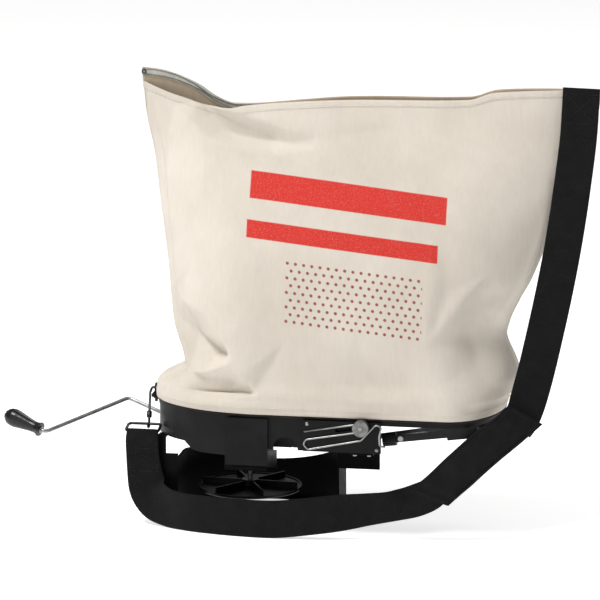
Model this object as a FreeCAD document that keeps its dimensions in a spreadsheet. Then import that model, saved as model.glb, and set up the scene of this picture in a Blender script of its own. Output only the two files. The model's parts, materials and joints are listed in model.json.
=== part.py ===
"""Bag spreader with a hand crank: canvas bag, hopper tray, gear drive, impeller, guard and strap.

Frame: millimetres, +Z up, +X along the tray towards the strap end, +Y towards the wearer.
Every piece is laid out from the impeller's axis at floor height. The last step moves the whole
assembly so that its origin is the middle of its footprint, on the floor.
"""
import FreeCAD, Part
import math
import os

Vector = FreeCAD.Vector
Z_AXIS = Vector(0, 0, 1)
FIT = 0.05            # radial running clearance of a shaft in its bush
GAP = 0.3             # clearance between neighbours that don't fit each other

doc = FreeCAD.newDocument("bag_spreader")
sheet = doc.addObject("Spreadsheet::Sheet", "Dimensions")

DIMENSIONS = {
    # middle of the footprint, from the impeller's axis
    "origin_x": 66.24, "origin_y": -2.55,
    # hopper tray
    "tray_left": -118.0, "tray_right": 326.0, "tray_front": -95.0, "tray_back": 105.0,
    "left_end": 145.0, "right_end": 62.0, "tray_wall": 3.0,
    "rim_top": 172.0, "pan_bottom": 148.0, "skirt_bottom": 112.0, "skirt_end": 184.0,
    "funnel_bottom": 104.0, "funnel_left": -35.0, "funnel_right": 75.0,
    "funnel_front": -45.0, "funnel_back": 35.0,
    "outlet_x": 47.0, "outlet_length": 18.0, "outlet_width": 36.0,
    # bag
    "cloth": 2.0, "zip_level": 522.0, "tape_thick": 1.0,
    # spinner
    "shaft_radius": 3.0, "shaft_low": 30.0, "shaft_high": 132.0,
    "disc_radius": 66.0, "disc_level": 38.0, "disc_thick": 2.5, "vane_height": 8.0,
    # gear pair and crank
    "apex_level": 84.0, "crank_turn": 20.0, "crank_rise": 15.5,
    "gear_teeth": 24.0, "pinion_teeth": 8.0, "gear_module": 1.125, "tooth_face": 5.0,
    "rod_radius": 2.5, "crank_length": 188.0, "arm_length": 131.0, "arm_lean": 20.0,
    "arm_angle": -19.5, "handle_length": 62.0, "grip_radius": 11.5,
    # gearbox
    "box_left": -28.0, "box_right": 26.0, "box_front": -30.0, "box_back": 24.0,
    "box_low": 67.0, "box_wall": 2.5,
    # guard
    "guard_left": -88.0, "guard_right": 123.0, "guard_front": -45.0, "guard_wall": 2.5,
    "foot_width": 10.0, "wing_tip_left": -126.0, "wing_tip_right": 175.0,
    # rate stop
    "plate_left": 86.0, "plate_right": 185.0, "plate_thick": 5.0, "wire_radius": 1.2,
    "stop_x": 161.0, "stop_level": 147.0, "stop_angle": 10.0, "knob_radius": 10.5,
    # gate and lever
    "gate_thick": 2.0, "gate_width": 46.0,
    "lever_slope": 7.6, "pivot_x": 300.0, "pivot_y": 26.0, "pivot_level": 135.5,
    "lever_thick": 4.0, "pin_reach": 56.0, "bar_reach": 92.0,
    # strap
    "web_width": 49.0, "upper_width": 47.0, "web_thick": 2.0, "pad_thick": 9.0,
    "ear_level": 152.0, "ear_thick": 4.0, "link_radius": 1.6,
}
for row, (alias, value) in enumerate(DIMENSIONS.items(), start=1):
    sheet.set("A%d" % row, alias.replace("_", " "))
    sheet.set("B%d" % row, str(value))
    sheet.setAlias("B%d" % row, alias)
doc.recompute()

nodes = []


def size(alias):
    """Value of a driving dimension."""
    return float(sheet.get(alias))


def register(obj, label):
    """Name a finished sub-part, so that it is placed and written at the end."""
    obj.Label = label
    nodes.append(obj)
    return obj


def facing(base, direction):
    """Placement that turns +Z to direction and moves the origin to base."""
    return FreeCAD.Placement(base, FreeCAD.Rotation(Z_AXIS, direction))


def rod(name, radius, height, base, direction=Z_AXIS):
    """Part::Cylinder whose radius and height are sheet expressions or numbers."""
    obj = doc.addObject("Part::Cylinder", name)
    for prop, value in (("Radius", radius), ("Height", height)):
        if isinstance(value, str):
            obj.setExpression(prop, value)
        else:
            setattr(obj, prop, value)
    obj.Placement = facing(base, direction)
    return obj


def fuse(name, pieces):
    """Part::MultiFuse of several objects."""
    obj = doc.addObject("Part::MultiFuse", name)
    obj.Shapes = pieces
    return obj


def cut(name, base, tool):
    """Part::Cut of one object by another."""
    obj = doc.addObject("Part::Cut", name)
    obj.Base = base
    obj.Tool = tool
    return obj


def feature(label, shape):
    """Sub-part whose shape is worked out in code, because no feature makes it."""
    obj = doc.addObject("Part::Feature", label)
    obj.Shape = shape
    return register(obj, label)


def solid_box(low, high):
    """Plain box shape between two corners."""
    return Part.makeBox(high[0] - low[0], high[1] - low[1], high[2] - low[2], Vector(*low))


def prism(points, direction):
    """Solid made by pushing a flat polygon along direction."""
    corners = [Vector(*point) for point in points]
    return Part.Face(Part.makePolygon(corners + corners[:1])).extrude(direction)


def pipe(points, bend, radius):
    """Round bar along straight runs, with every inner corner rounded to the bend radius."""
    corners = [Vector(*point) for point in points]
    edges = []
    start = corners[0]
    for before, corner, after in zip(corners, corners[1:], corners[2:]):
        back = (before - corner).normalize()
        ahead = (after - corner).normalize()
        half_turn = back.getAngle(ahead) / 2
        reach = bend / math.tan(half_turn)
        first = corner + back * reach
        last = corner + ahead * reach
        middle = corner + (back + ahead).normalize() * (bend / math.sin(half_turn) - bend)
        edges.append(Part.LineSegment(start, first).toShape())
        edges.append(Part.Arc(first, middle, last).toShape())
        start = last
    edges.append(Part.LineSegment(start, corners[-1]).toShape())
    path = Part.Wire(edges)
    heading = (corners[1] - corners[0]).normalize()
    ring = Part.Wire(Part.makeCircle(radius, corners[0], heading))
    return path.makePipeShell([ring], True, False)


def ribbon(stations, thick):
    """Flat webbing through stations of centre, width direction and width."""
    centres = [Vector(*centre) for centre, across, width in stations]
    wires = []
    for index, (centre, across, width) in enumerate(stations):
        ahead = centres[min(index + 1, len(centres) - 1)] - centres[max(index - 1, 0)]
        side = Vector(*across).normalize() * (width / 2)
        normal = ahead.cross(side).normalize() * (thick / 2)
        corners = [Vector(*centre) + side + normal, Vector(*centre) - side + normal,
                   Vector(*centre) - side - normal, Vector(*centre) + side - normal]
        wires.append(Part.makePolygon(corners + corners[:1]))
    return Part.makeLoft(wires, True, True)


def quarter(centre, along, outward, begin, end):
    """Elliptical arc in a horizontal plane, from begin to end in radians."""
    major = max(along, outward)
    minor = min(along, outward)
    ellipse = Part.Ellipse(centre, major, minor)
    if outward > along:
        ellipse = Part.Ellipse(centre + Vector(0, major, 0), centre + Vector(-minor, 0, 0), centre)
        begin -= math.pi / 2
        end -= math.pi / 2
    return Part.ArcOfEllipse(ellipse, begin, end).toShape()


def oval(outline, level, inset=0.0, half=None):
    """Tray outline: straight long sides joined by half-ellipse ends.

    outline holds left, right, front, back, left end length and right end length. half picks the
    front or the back half, from the left seam to the right seam.
    """
    left, right, front, back, left_end, right_end = outline
    middle = (front + back) / 2
    depth = (back - front) / 2 - inset
    left_centre = Vector(left + left_end, middle, level)
    right_centre = Vector(right - right_end, middle, level)
    deep = Vector(0, depth, 0)
    turn = math.pi / 2
    front_half = [quarter(left_centre, left_end - inset, depth, 2 * turn, 3 * turn),
                  Part.LineSegment(left_centre - deep, right_centre - deep).toShape(),
                  quarter(right_centre, right_end - inset, depth, 3 * turn, 4 * turn)]
    back_half = [quarter(right_centre, right_end - inset, depth, 0, turn),
                 Part.LineSegment(right_centre + deep, left_centre + deep).toShape(),
                 quarter(left_centre, left_end - inset, depth, turn, 2 * turn)]
    if half == "front":
        return front_half
    if half == "back":
        return back_half
    return Part.Wire(front_half + back_half)


def column(outline, low, high, inset=0.0):
    """Upright solid with the tray's outline."""
    return Part.Face(oval(outline, low, inset)).extrude(Vector(0, 0, high - low))


def rectangle(left, right, front, back, level):
    """Closed rectangle at one height."""
    corners = [Vector(left, front, level), Vector(right, front, level),
               Vector(right, back, level), Vector(left, back, level)]
    return Part.makePolygon(corners + corners[:1])


TRAY = [size(name) for name in
        ("tray_left", "tray_right", "tray_front", "tray_back", "left_end", "right_end")]
WALL = size("tray_wall")
PAN_BOTTOM = size("pan_bottom")
SKIRT_BOTTOM = size("skirt_bottom")
SKIRT_END = size("skirt_end")
FUNNEL_BOTTOM = size("funnel_bottom")
FUNNEL = [size(name) for name in ("funnel_left", "funnel_right", "funnel_front", "funnel_back")]
FRONT = size("tray_front")
APEX = Vector(0, 0, size("apex_level"))
GUARD_SCREWS = [(-105.1, -31.5), (151, -92.5), (169, -92.5)]
GEARBOX_SCREWS = [(x, y) for x in (size("box_left") + 8, size("box_right") - 8)
                  for y in (size("box_front") - 5, size("box_back") + 5)]
EAR_LOW = size("ear_level")
EAR_TOP = EAR_LOW + size("ear_thick")
EYE = Vector(size("tray_left") - 5.2, 7, EAR_TOP + 6.6)
LEVER_TILT = math.radians(size("lever_slope"))
LEVER_UP = Vector(-math.sin(LEVER_TILT), 0, math.cos(LEVER_TILT))
LEVER_OUT = Vector(math.cos(LEVER_TILT), 0, math.sin(LEVER_TILT))
LEVER_PIVOT = Vector(size("pivot_x"), size("pivot_y"), size("pivot_level"))


def crank_frame():
    """Unit vectors of the crank: along its shaft, level across it, and up across it."""
    turn = math.radians(size("crank_turn"))
    rise = math.radians(size("crank_rise"))
    along = Vector(-math.cos(turn) * math.cos(rise), math.sin(turn) * math.cos(rise), math.sin(rise))
    level = Vector(-math.sin(turn), -math.cos(turn), 0)
    return along, level, along.cross(level)


ALONG, ACROSS, UP_ACROSS = crank_frame()


# ---------------------------------------------------------------- hopper tray
def build_apron():
    """Lower lip of the skirt's front, left of the gear drive."""
    low = SKIRT_BOTTOM - 11
    high = SKIRT_BOTTOM + 1
    ring = column(TRAY, low, high, 1.0).cut(column(TRAY, low - 1, high + 1, WALL + 1.0))
    side = [(-74, high), (-62, low + 2), (-50, low), (-15.5, low), (-15.5, high)]
    return ring.common(prism([(x, FRONT - 5, z) for x, z in side], Vector(0, 80, 0)))


def build_tray():
    """Oval pan with a funnel below it, a deep skirt round the drive, and an ear for the strap."""
    pan = column(TRAY, PAN_BOTTOM, size("rim_top"))
    pan = pan.cut(column(TRAY, PAN_BOTTOM + WALL, size("rim_top") + WALL, WALL))
    mouth = [-82, 178, -76, 84]
    outer = Part.makeLoft([rectangle(*FUNNEL, FUNNEL_BOTTOM), rectangle(*mouth, PAN_BOTTOM)], True, True)
    inner_low = [FUNNEL[0] + WALL, FUNNEL[1] - WALL, FUNNEL[2] + WALL, FUNNEL[3] - WALL]
    inner_high = [mouth[0] + WALL, mouth[1] - WALL, mouth[2] + WALL, mouth[3] - WALL]
    inner = Part.makeLoft([rectangle(*inner_low, FUNNEL_BOTTOM + WALL),
                           rectangle(*inner_high, PAN_BOTTOM + WALL)], True, True)
    # the mouth's front left corner would break through the oval skirt
    outer = outer.common(column(TRAY, FUNNEL_BOTTOM, PAN_BOTTOM, 1.0))
    inner = inner.common(column(TRAY, FUNNEL_BOTTOM, PAN_BOTTOM + WALL, WALL + 1.0))
    skirt = column(TRAY, SKIRT_BOTTOM, PAN_BOTTOM + 1, 1.0)
    skirt = skirt.cut(column(TRAY, SKIRT_BOTTOM - 1, PAN_BOTTOM + 2, WALL + 1.0))
    skirt = skirt.cut(solid_box((SKIRT_END, -200, 100), (400, 200, 160)))
    arch = Part.makeCylinder(16, 60, Vector(62, -120, SKIRT_BOTTOM), Vector(0, 1, 0))
    crank_notch = solid_box((-130, 22, SKIRT_BOTTOM - 1), (-90, 60, SKIRT_BOTTOM + 16))
    skirt = skirt.cut(arch).cut(crank_notch)
    ear = solid_box((EYE.x - 4.2, -3, EAR_LOW), (size("tray_left") + 1, 17, EAR_TOP))
    tray = pan.fuse([outer, skirt, build_apron(), ear]).cut(inner)
    outlet = solid_box((size("outlet_x") - size("outlet_length") / 2, -size("outlet_width") / 2, 90),
                       (size("outlet_x") + size("outlet_length") / 2, size("outlet_width") / 2, 120))
    bush_hole = Part.makeCylinder(size("shaft_radius") + 3, 30, Vector(0, 0, 95))
    eye_hole = Part.makeCylinder(2.1, 20, Vector(EYE.x, EYE.y, EAR_LOW - 8))
    tray = tray.cut(outlet).cut(bush_hole).cut(eye_hole)
    for x, y in GUARD_SCREWS:
        tray = tray.cut(Part.makeCylinder(1.1, 10, Vector(x, y, SKIRT_BOTTOM - 1)))
    for x, y in GEARBOX_SCREWS:
        tray = tray.cut(Part.makeCylinder(1.7, 10, Vector(x, y, FUNNEL_BOTTOM - 1)))
    boss = Part.makeCylinder(9, 40, LEVER_PIVOT + LEVER_UP * 0.3, LEVER_UP)
    boss = boss.common(solid_box((200, -100, 100), (330, 100, PAN_BOTTOM + 1)))
    bolt_hole = Part.makeCylinder(2.45, 9.0, LEVER_PIVOT, LEVER_UP)
    return feature("hopper_tray", tray.fuse(boss).cut(bolt_hole).removeSplitter())


build_tray()


# ---------------------------------------------------------------- bag
BAG_LEVELS = [
    # height, left, right, front, back, left end, right end of the cloth's outside
    (157.0, -120.2, 328.2, -97.2, 107.2, 147.2, 64.2),
    (175.0, -120.2, 328.2, -97.2, 107.2, 147.2, 64.2),
    (180.0, -117.0, 340.0, -97.6, 108.0, 140.0, 74.0),
    (200.0, -84.0, 346.0, -92.0, 100.0, 106.0, 90.0),
    (256.0, -98.0, 329.0, -88.0, 92.0, 120.0, 87.0),
    (330.0, -105.5, 364.0, -80.0, 84.0, 132.5, 120.0),
    (410.0, -115.5, 396.0, -60.0, 62.0, 143.5, 140.0),
    (470.0, -122.5, 420.0, -36.0, 37.0, 154.5, 150.0),
    (522.0, -133.0, 441.0, -17.0, 17.5, 103.0, 160.0),
    (582.0, -138.5, 451.0, -9.0, 9.0, 60.5, 170.0),
]
FRONT_TOP = [(-139, 563), (-94, 548), (-26, 533), (-1, 538), (128, 549), (282, 554), (315, 564),
             (452, 571)]
BACK_TOP = [(-139, 580), (-116, 577), (-75, 561), (-52, 545), (-20, 535), (128, 549), (282, 554),
            (315, 564), (452, 571)]


def bag_panel(label, half, top):
    """Half of the bag, from seam to seam: a thin shell through the levels, trimmed to its top edge."""
    cloth = size("cloth")
    seam_gap = 0.1 if half == "back" else -0.1
    wires = []
    for level, *outline in BAG_LEVELS:
        outer = oval(outline, level, 0.0, half)
        inner = oval(outline, level, cloth, half)
        first = Part.LineSegment(outer[0].Vertexes[0].Point, inner[0].Vertexes[0].Point).toShape()
        last = Part.LineSegment(outer[-1].Vertexes[-1].Point, inner[-1].Vertexes[-1].Point).toShape()
        wires.append(Part.Wire(Part.__sortEdges__(outer + [last] + inner + [first])))
    shell = Part.makeLoft(wires, True, True)
    line = [Vector(x, -150, z) for x, z in top]
    lid = [Vector(-300, -150, top[0][1])] + line + [Vector(600, -150, top[-1][1]),
                                                    Vector(600, -150, 700), Vector(-300, -150, 700)]
    shell = shell.cut(Part.Face(Part.makePolygon(lid + lid[:1])).extrude(Vector(0, 300, 0)))
    shell.translate(Vector(0, seam_gap, 0))
    return feature(label, shell)


bag_panel("bag_front_panel", "front", FRONT_TOP)
bag_panel("bag_back_panel", "back", BACK_TOP)


def build_zipper():
    """Two tapes and the coil between them, just below the bag's top edge."""
    level = size("zip_level")
    thick = size("tape_thick")
    left = -90
    right = 410
    for label, near, far in (("zipper_tape_front", -1.8, -6.0), ("zipper_tape_back", 1.8, 6.0)):
        tape = solid_box((left, min(near, far), level), (right, max(near, far), level + thick))
        if label == "zipper_tape_front":
            tail = [(left, level), (left + 6, level + thick), (-127, 571), (-131, 568)]
            flap = prism([(x, -2.7, z) for x, z in tail], Vector(0, 0.8, 0))
            tape = tape.fuse(flap)
        feature(label, tape)
    coil = solid_box((left, -1.7, level - 1), (right, 1.7, level + 1))
    feature("zipper_coil", coil)
    stop = solid_box((left - 3.2, -0.8, level - 1.6), (left - 0.1, 1.7, level + 1.6))
    end_stop = solid_box((right + 0.1, -1.7, level - 1.6), (right + 3.2, 1.7, level + 1.6))
    feature("zipper_stops", Part.makeCompound([stop, end_stop]))


build_zipper()


def build_zip_slider():
    """Slider with a channel for the coil, and the pull that swings on its bridge."""
    middle = -74.0
    level = size("zip_level") + 0.5
    body = solid_box((middle - 7, -5, level + 0.8), (middle + 7, 5, level + 3))
    channel = solid_box((middle - 8, -2.1, level), (middle + 8, 2.1, level + 1.1))
    bridge = solid_box((middle - 4, -1.2, level + 3), (middle + 4, 1.2, level + 6.4))
    eye = solid_box((middle - 2.6, -2, level + 3), (middle + 2.6, 2, level + 5))
    feature("zipper_slider", body.fuse(bridge.cut(eye)).cut(channel))
    bar = Part.makeCylinder(0.8, 7, Vector(middle, -3.5, level + 4), Vector(0, 1, 0))
    tab = solid_box((middle, -3.5, level + 3.4), (middle + 24, 3.5, level + 4.6))
    window = solid_box((middle - 4, -1.7, level), (middle + 5, 1.7, level + 8))
    pull = bar.fuse(tab.cut(window))
    feature("zipper_pull", pull)


build_zip_slider()


def build_hem_band():
    """Binding that clamps the cloth to the tray, just below the hem."""
    band = column(TRAY, 154.6, 156.9, -2.6).cut(column(TRAY, 154, 157.5, -0.05))
    ear_room = solid_box((size("tray_left") - 20, -4, EAR_LOW - 2), (size("tray_left") + 4, 18, EAR_TOP + 3))
    feature("hem_band", band.cut(ear_room))


build_hem_band()


# ---------------------------------------------------------------- gear drive
GEAR_TEETH = int(size("gear_teeth"))
PINION_TEETH = int(size("pinion_teeth"))
MODULE = size("gear_module")
GEAR_RADIUS = GEAR_TEETH * MODULE / 2
PINION_RADIUS = PINION_TEETH * MODULE / 2
SHAFT_ANGLE = math.radians(90 - size("crank_rise"))
GEAR_CONE = math.atan2(math.sin(SHAFT_ANGLE), PINION_TEETH / GEAR_TEETH + math.cos(SHAFT_ANGLE))
CONE_LENGTH = GEAR_RADIUS / math.sin(GEAR_CONE)


def bevel_gear(teeth, cone, face, hub, bore, back, phase):
    """Straight bevel gear with its apex at the origin and its axis along +Z.

    Teeth narrow towards the apex. back is the length of the hub beyond the large end, and phase
    turns the teeth, in degrees.
    """
    addendum = 0.75 * MODULE
    dedendum = 0.95 * MODULE
    root = cone - dedendum / CONE_LENGTH
    tip = cone + addendum / CONE_LENGTH
    inner = (CONE_LENGTH - face) / CONE_LENGTH

    def point(angle, turn, scale):
        radius = CONE_LENGTH * scale * math.sin(angle)
        return Vector(radius * math.cos(turn), radius * math.sin(turn), CONE_LENGTH * scale * math.cos(angle))

    low = point(root, 0, inner)
    high = point(root, 0, 1)
    blank = Part.makePolygon([Vector(0, 0, low.z), low, high, Vector(hub, 0, high.z + 1),
                              Vector(hub, 0, high.z + back), Vector(0, 0, high.z + back),
                              Vector(0, 0, low.z)])
    blank = Part.Face(blank).revolve(Vector(), Z_AXIS, 360)
    pitch = 2 * math.pi / teeth
    half_root = 0.27 * pitch
    half_tip = 0.12 * pitch
    sunk = root - 0.25 * MODULE / CONE_LENGTH
    solids = []
    for index in range(teeth):
        turn = math.radians(phase) + index * pitch
        rings = []
        for scale in (inner, 1):
            rings.append(Part.makePolygon([point(sunk, turn - half_root, scale),
                                           point(sunk, turn + half_root, scale),
                                           point(tip, turn + half_tip, scale),
                                           point(tip, turn - half_tip, scale),
                                           point(sunk, turn - half_root, scale)]))
        solids.append(Part.makeLoft(rings, True, True))
    gear = blank.fuse(solids)
    return gear.cut(Part.makeCylinder(bore, 100, Vector(0, 0, -10)))


def on_crank(distance):
    """Point on the crank axis, at a distance from the gears' apex."""
    return APEX + ALONG * distance


def build_gears():
    """Crank gear on the crank, and the pinion above the apex on the impeller shaft."""
    gear = bevel_gear(GEAR_TEETH, GEAR_CONE, size("tooth_face"), 6.0, size("rod_radius") + 0.02, 6.0,
                      360.0 / GEAR_TEETH / 2)
    # the teeth are counted from the direction that points at the pinion
    towards = (Z_AXIS - ALONG * Z_AXIS.dot(ALONG)).normalize()
    gear.Placement = FreeCAD.Placement(APEX, FreeCAD.Rotation(towards, Vector(), ALONG, "ZXY"))
    feature("crank_gear", gear)
    pinion = bevel_gear(PINION_TEETH, SHAFT_ANGLE - GEAR_CONE, size("tooth_face"), 3.9,
                        size("shaft_radius") - 0.98, 1.2, 0.0)
    lean = (ALONG - Z_AXIS * ALONG.dot(Z_AXIS)).normalize()
    pinion.Placement = FreeCAD.Placement(APEX, FreeCAD.Rotation(lean, Vector(), Z_AXIS, "ZXY"))
    feature("spinner_pinion", pinion)


build_gears()


def build_shaft():
    """Impeller shaft: stepped rod from the nut below the disc up to the agitator."""
    neck = rod("ShaftNeck", size("shaft_radius") - 1, 8, Vector(0, 0, 93.5))
    low = rod("ShaftLow", "Dimensions.shaft_radius", 93.6 - size("shaft_low"),
              Vector(0, 0, size("shaft_low")))
    neck_top = 101.4
    high = rod("ShaftHigh", "Dimensions.shaft_radius", size("shaft_high") - neck_top,
               Vector(0, 0, neck_top))
    register(fuse("ShaftBody", [low, neck, high]), "spinner_shaft")


def build_agitator():
    """Bent wire stirrer through the top of the impeller shaft."""
    level = size("shaft_high") - 6
    path = [(-20, 0, level - 10), (-16, 0, level), (16, 0, level), (20, 0, level - 10)]
    wire = pipe(path, 3.0, 1.4)
    shaft = Part.makeCylinder(size("shaft_radius"), 12, Vector(0, 0, level - 6))
    feature("agitator", wire.cut(shaft).Solids[0].fuse(wire.cut(shaft).Solids[1:]))


def sketch_on(body, role, name):
    """Sketch on one of a body's own origin planes."""
    sketch = body.newObject("Sketcher::SketchObject", name)
    plane = [part for part in body.Origin.OriginFeatures if part.Role == role][0]
    sketch.AttachmentSupport = (plane, [""])
    sketch.MapMode = "FlatFace"
    return sketch


def draw(sketch, points):
    """Closed polygon in a sketch, with its corners joined."""
    corners = [Vector(x, y, 0) for x, y in points]
    for start, end in zip(corners, corners[1:] + corners[:1]):
        sketch.addGeometry(Part.LineSegment(start, end), False)
    return sketch


def revolved(name, profile, role="XZ_Plane"):
    """PartDesign body turned round the sketch's vertical axis."""
    body = doc.addObject("PartDesign::Body", name)
    sketch = draw(sketch_on(body, role, name + "Profile"), profile)
    turn = body.newObject("PartDesign::Revolution", name + "Turn")
    turn.Profile = sketch
    turn.ReferenceAxis = (sketch, ["V_Axis"])
    turn.Angle = 360.0
    doc.recompute()
    return body


def spread(body, count):
    """Repeat a body's last feature round its vertical axis."""
    pattern = body.newObject("PartDesign::PolarPattern", body.Name + "Pattern")
    pattern.Originals = [body.Tip]
    axis = [part for part in body.Origin.OriginFeatures if part.Role == "Z_Axis"][0]
    pattern.Axis = (axis, [""])
    pattern.Angle = 360
    pattern.Occurrences = count
    body.Tip = pattern
    doc.recompute()
    return body


def build_impeller():
    """Thin disc with a turned-up rim, a hub and curved throwing vanes."""
    radius = size("disc_radius")
    thick = size("disc_thick")
    bore = size("shaft_radius") + 0.01
    hub = 11.0
    profile = [(bore, 0), (radius - 1, 0), (radius, 1), (radius, thick + 1.5), (radius - 1.6, thick + 1.5),
               (radius - 1.6, thick), (hub + 4, thick), (hub, thick + 2), (hub, thick + 9),
               (bore, thick + 9)]
    disc = revolved("Impeller", profile)
    vane = sketch_on(disc, "XY_Plane", "VaneOutline")
    draw(vane, [(hub - 1, -1), (radius - 4, -6), (radius - 4, -4), (hub - 1, 1)])
    pad = disc.newObject("PartDesign::Pad", "Vane")
    pad.Profile = vane
    pad.setExpression("Length", "Dimensions.disc_thick + Dimensions.vane_height")
    doc.recompute()
    spread(disc, 6)
    disc.Placement.Base = Vector(0, 0, size("disc_level"))
    register(disc, "impeller_disc")
    nut = rod("NutRound", 5.0, 4.0, Vector(0, 0, size("disc_level") - 4.05))
    hole = rod("NutHole", size("shaft_radius") + 0.01, 6.0, Vector(0, 0, size("disc_level") - 5))
    register(cut("NutBody", nut, hole), "impeller_nut")


build_shaft()
build_agitator()
build_impeller()


def build_bushes():
    """Sleeves that carry the two shafts."""
    bore = size("shaft_radius") + FIT
    low = size("box_low")
    lower = rod("LowerBushOuter", bore + 2.4, 8.0, Vector(0, 0, low - 4))
    lower_hole = rod("LowerBushHole", bore, 20.0, Vector(0, 0, low - 8))
    register(cut("LowerBush", lower, lower_hole), "lower_bush")
    upper = rod("UpperBushOuter", size("shaft_radius") + 2.95, 7.0, Vector(0, 0, FUNNEL_BOTTOM - 1))
    upper_hole = rod("UpperBushHole", bore, 20.0, Vector(0, 0, FUNNEL_BOTTOM - 4))
    register(cut("UpperBush", upper, upper_hole), "upper_bush")
    start = 24.0
    sleeve = rod("CrankBushOuter", 5.4, 22.0, on_crank(start), ALONG)
    sleeve_hole = rod("CrankBushHole", size("rod_radius") + FIT, 40.0, on_crank(start - 8), ALONG)
    register(cut("CrankBush", sleeve, sleeve_hole), "crank_bush")


build_bushes()


def build_gearbox():
    """Housing round the gears with its lid flange, and the front cover that shields it."""
    left = size("box_left")
    right = size("box_right")
    front = size("box_front")
    back = size("box_back")
    low = size("box_low")
    wall = size("box_wall")
    top = FUNNEL_BOTTOM - GAP / 3
    outer = solid_box((left, front, low), (right, back, top))
    flange = solid_box((left, front - 9, top - wall), (right, back + 9, top))
    inner = solid_box((left + wall, front + wall, low + wall), (right - wall, back - wall, top + 1))
    boss = Part.makeCylinder(8.4, 22.0, on_crank(24.0), ALONG)
    boss_hole = Part.makeCylinder(5.42, 60.0, on_crank(10.0), ALONG)
    bush_hole = Part.makeCylinder(size("shaft_radius") + FIT + 2.42, 20, Vector(0, 0, low - 10))
    shell = outer.fuse(flange).cut(inner).fuse(boss)
    shell = shell.cut(boss_hole).cut(bush_hole)
    upper_room = Part.makeCylinder(size("shaft_radius") + 3.2, 10, Vector(0, 0, top - 3))
    shell = shell.cut(upper_room)
    screws = []
    for x, y in GEARBOX_SCREWS:
        shell = shell.cut(Part.makeCylinder(1.7, 8, Vector(x, y, top - 4)))
        stem = Part.makeCylinder(1.65, 5.4, Vector(x, y, top - wall - 0.5))
        head = Part.makeCylinder(3.4, 2.2, Vector(x, y, top - wall - 2.25))
        screws.append(head.fuse(stem))
    feature("gearbox_housing", shell.removeSplitter())
    feature("gearbox_screws", Part.makeCompound(screws))
    nose_left = -14.0
    nose_right = 40.0
    plate_front = FRONT - 3.2
    plate_back = FRONT - 0.2
    side = [(nose_left, plate_front, 91), (nose_left, plate_front, 152), (nose_left, plate_back, 152),
            (nose_left, plate_back, 110), (nose_left, front - 0.2, 96), (nose_left, front - 0.2, 72)]
    nose = prism(side, Vector(nose_right - nose_left, 0, 0))
    hollow = prism([(nose_left + wall, plate_front + wall, 93.5), (nose_left + wall, plate_front + wall, 107),
                    (nose_left + wall, front + 2, 93), (nose_left + wall, front + 2, 75)],
                   Vector(nose_right - nose_left - 2 * wall, 0, 0))
    funnel_room = solid_box((nose_left - 1, front - 9.2, top - 8), (nose_right + 1, front + 5, top + 2))
    feature("gearbox_front_cover", nose.cut(hollow).cut(funnel_room).removeSplitter())


build_gearbox()


def build_guard():
    """U-shaped deflector behind the disc, open to the front, with a wing on each side."""
    left = size("guard_left")
    right = size("guard_right")
    front = size("guard_front")
    wall = size("guard_wall")
    middle = (left + right) / 2
    radius = (right - left) / 2

    def slab(inset, low, high):
        centre = Vector(middle, 0, low)
        half = radius - inset
        arc = Part.Arc(centre + Vector(half, 0, 0), centre + Vector(0, half, 0), centre - Vector(half, 0, 0))
        corners = [centre - Vector(half, 0, 0), Vector(left + inset, front, low),
                   Vector(right - inset, front, low), centre + Vector(half, 0, 0)]
        edges = [Part.LineSegment(a, b).toShape() for a, b in zip(corners, corners[1:])]
        return Part.Face(Part.Wire([arc.toShape()] + edges)).extrude(Vector(0, 0, high - low))

    wall_solid = slab(0, 0, 100).cut(slab(wall, -1, 101))
    wall_solid = wall_solid.cut(solid_box((left + wall, front - 1, -1), (right - wall, 0, 101)))
    foot = slab(0, 0, wall).cut(slab(size("foot_width"), -1, wall + 1))
    foot = foot.cut(solid_box((left + size("foot_width"), front - 1, -1), (right - size("foot_width"), 1, 9)))
    dip = Part.Arc(Vector(left - 4, -200, 86), Vector(-10, -200, 53), Vector(right + 4, -200, 95)).toShape()
    sky = [Vector(right + 4, -200, 95), Vector(right + 4, -200, 160), Vector(left - 4, -200, 160),
           Vector(left - 4, -200, 86)]
    sky_edges = [Part.LineSegment(a, b).toShape() for a, b in zip(sky, sky[1:])]
    rim = Part.Face(Part.Wire([dip] + sky_edges)).extrude(Vector(0, 400, 0))
    wings = [solid_box((right - wall, front, 79), (size("wing_tip_right"), front + wall, 104)),
             solid_box((size("wing_tip_left"), front, 40), (left + wall, front + wall, 89))]
    top = SKIRT_BOTTOM - 0.1
    tabs = [solid_box((-112, front, 61), (-101, front + wall, top)),
            solid_box((-112, front, top - wall), (-101, -26, top)),
            solid_box((144, front, 79), (175, front + wall, top)),
            solid_box((144, FRONT, top - wall), (175, front + wall, top))]
    guard = wall_solid.cut(rim).fuse([foot] + wings + tabs)
    screws = []
    for x, y in GUARD_SCREWS:
        guard = guard.cut(Part.makeCylinder(1.1, 9, Vector(x, y, top - 5)))
        stem = Part.makeCylinder(1.0, 9.0, Vector(x, y, top - wall - 1))
        screws.append(stem.fuse(Part.makeCylinder(2.6, 1.6, Vector(x, y, top - wall - 1.65))))
    feature("deflector_guard", guard.removeSplitter())
    feature("guard_screws", Part.makeCompound(screws))


build_guard()


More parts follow.
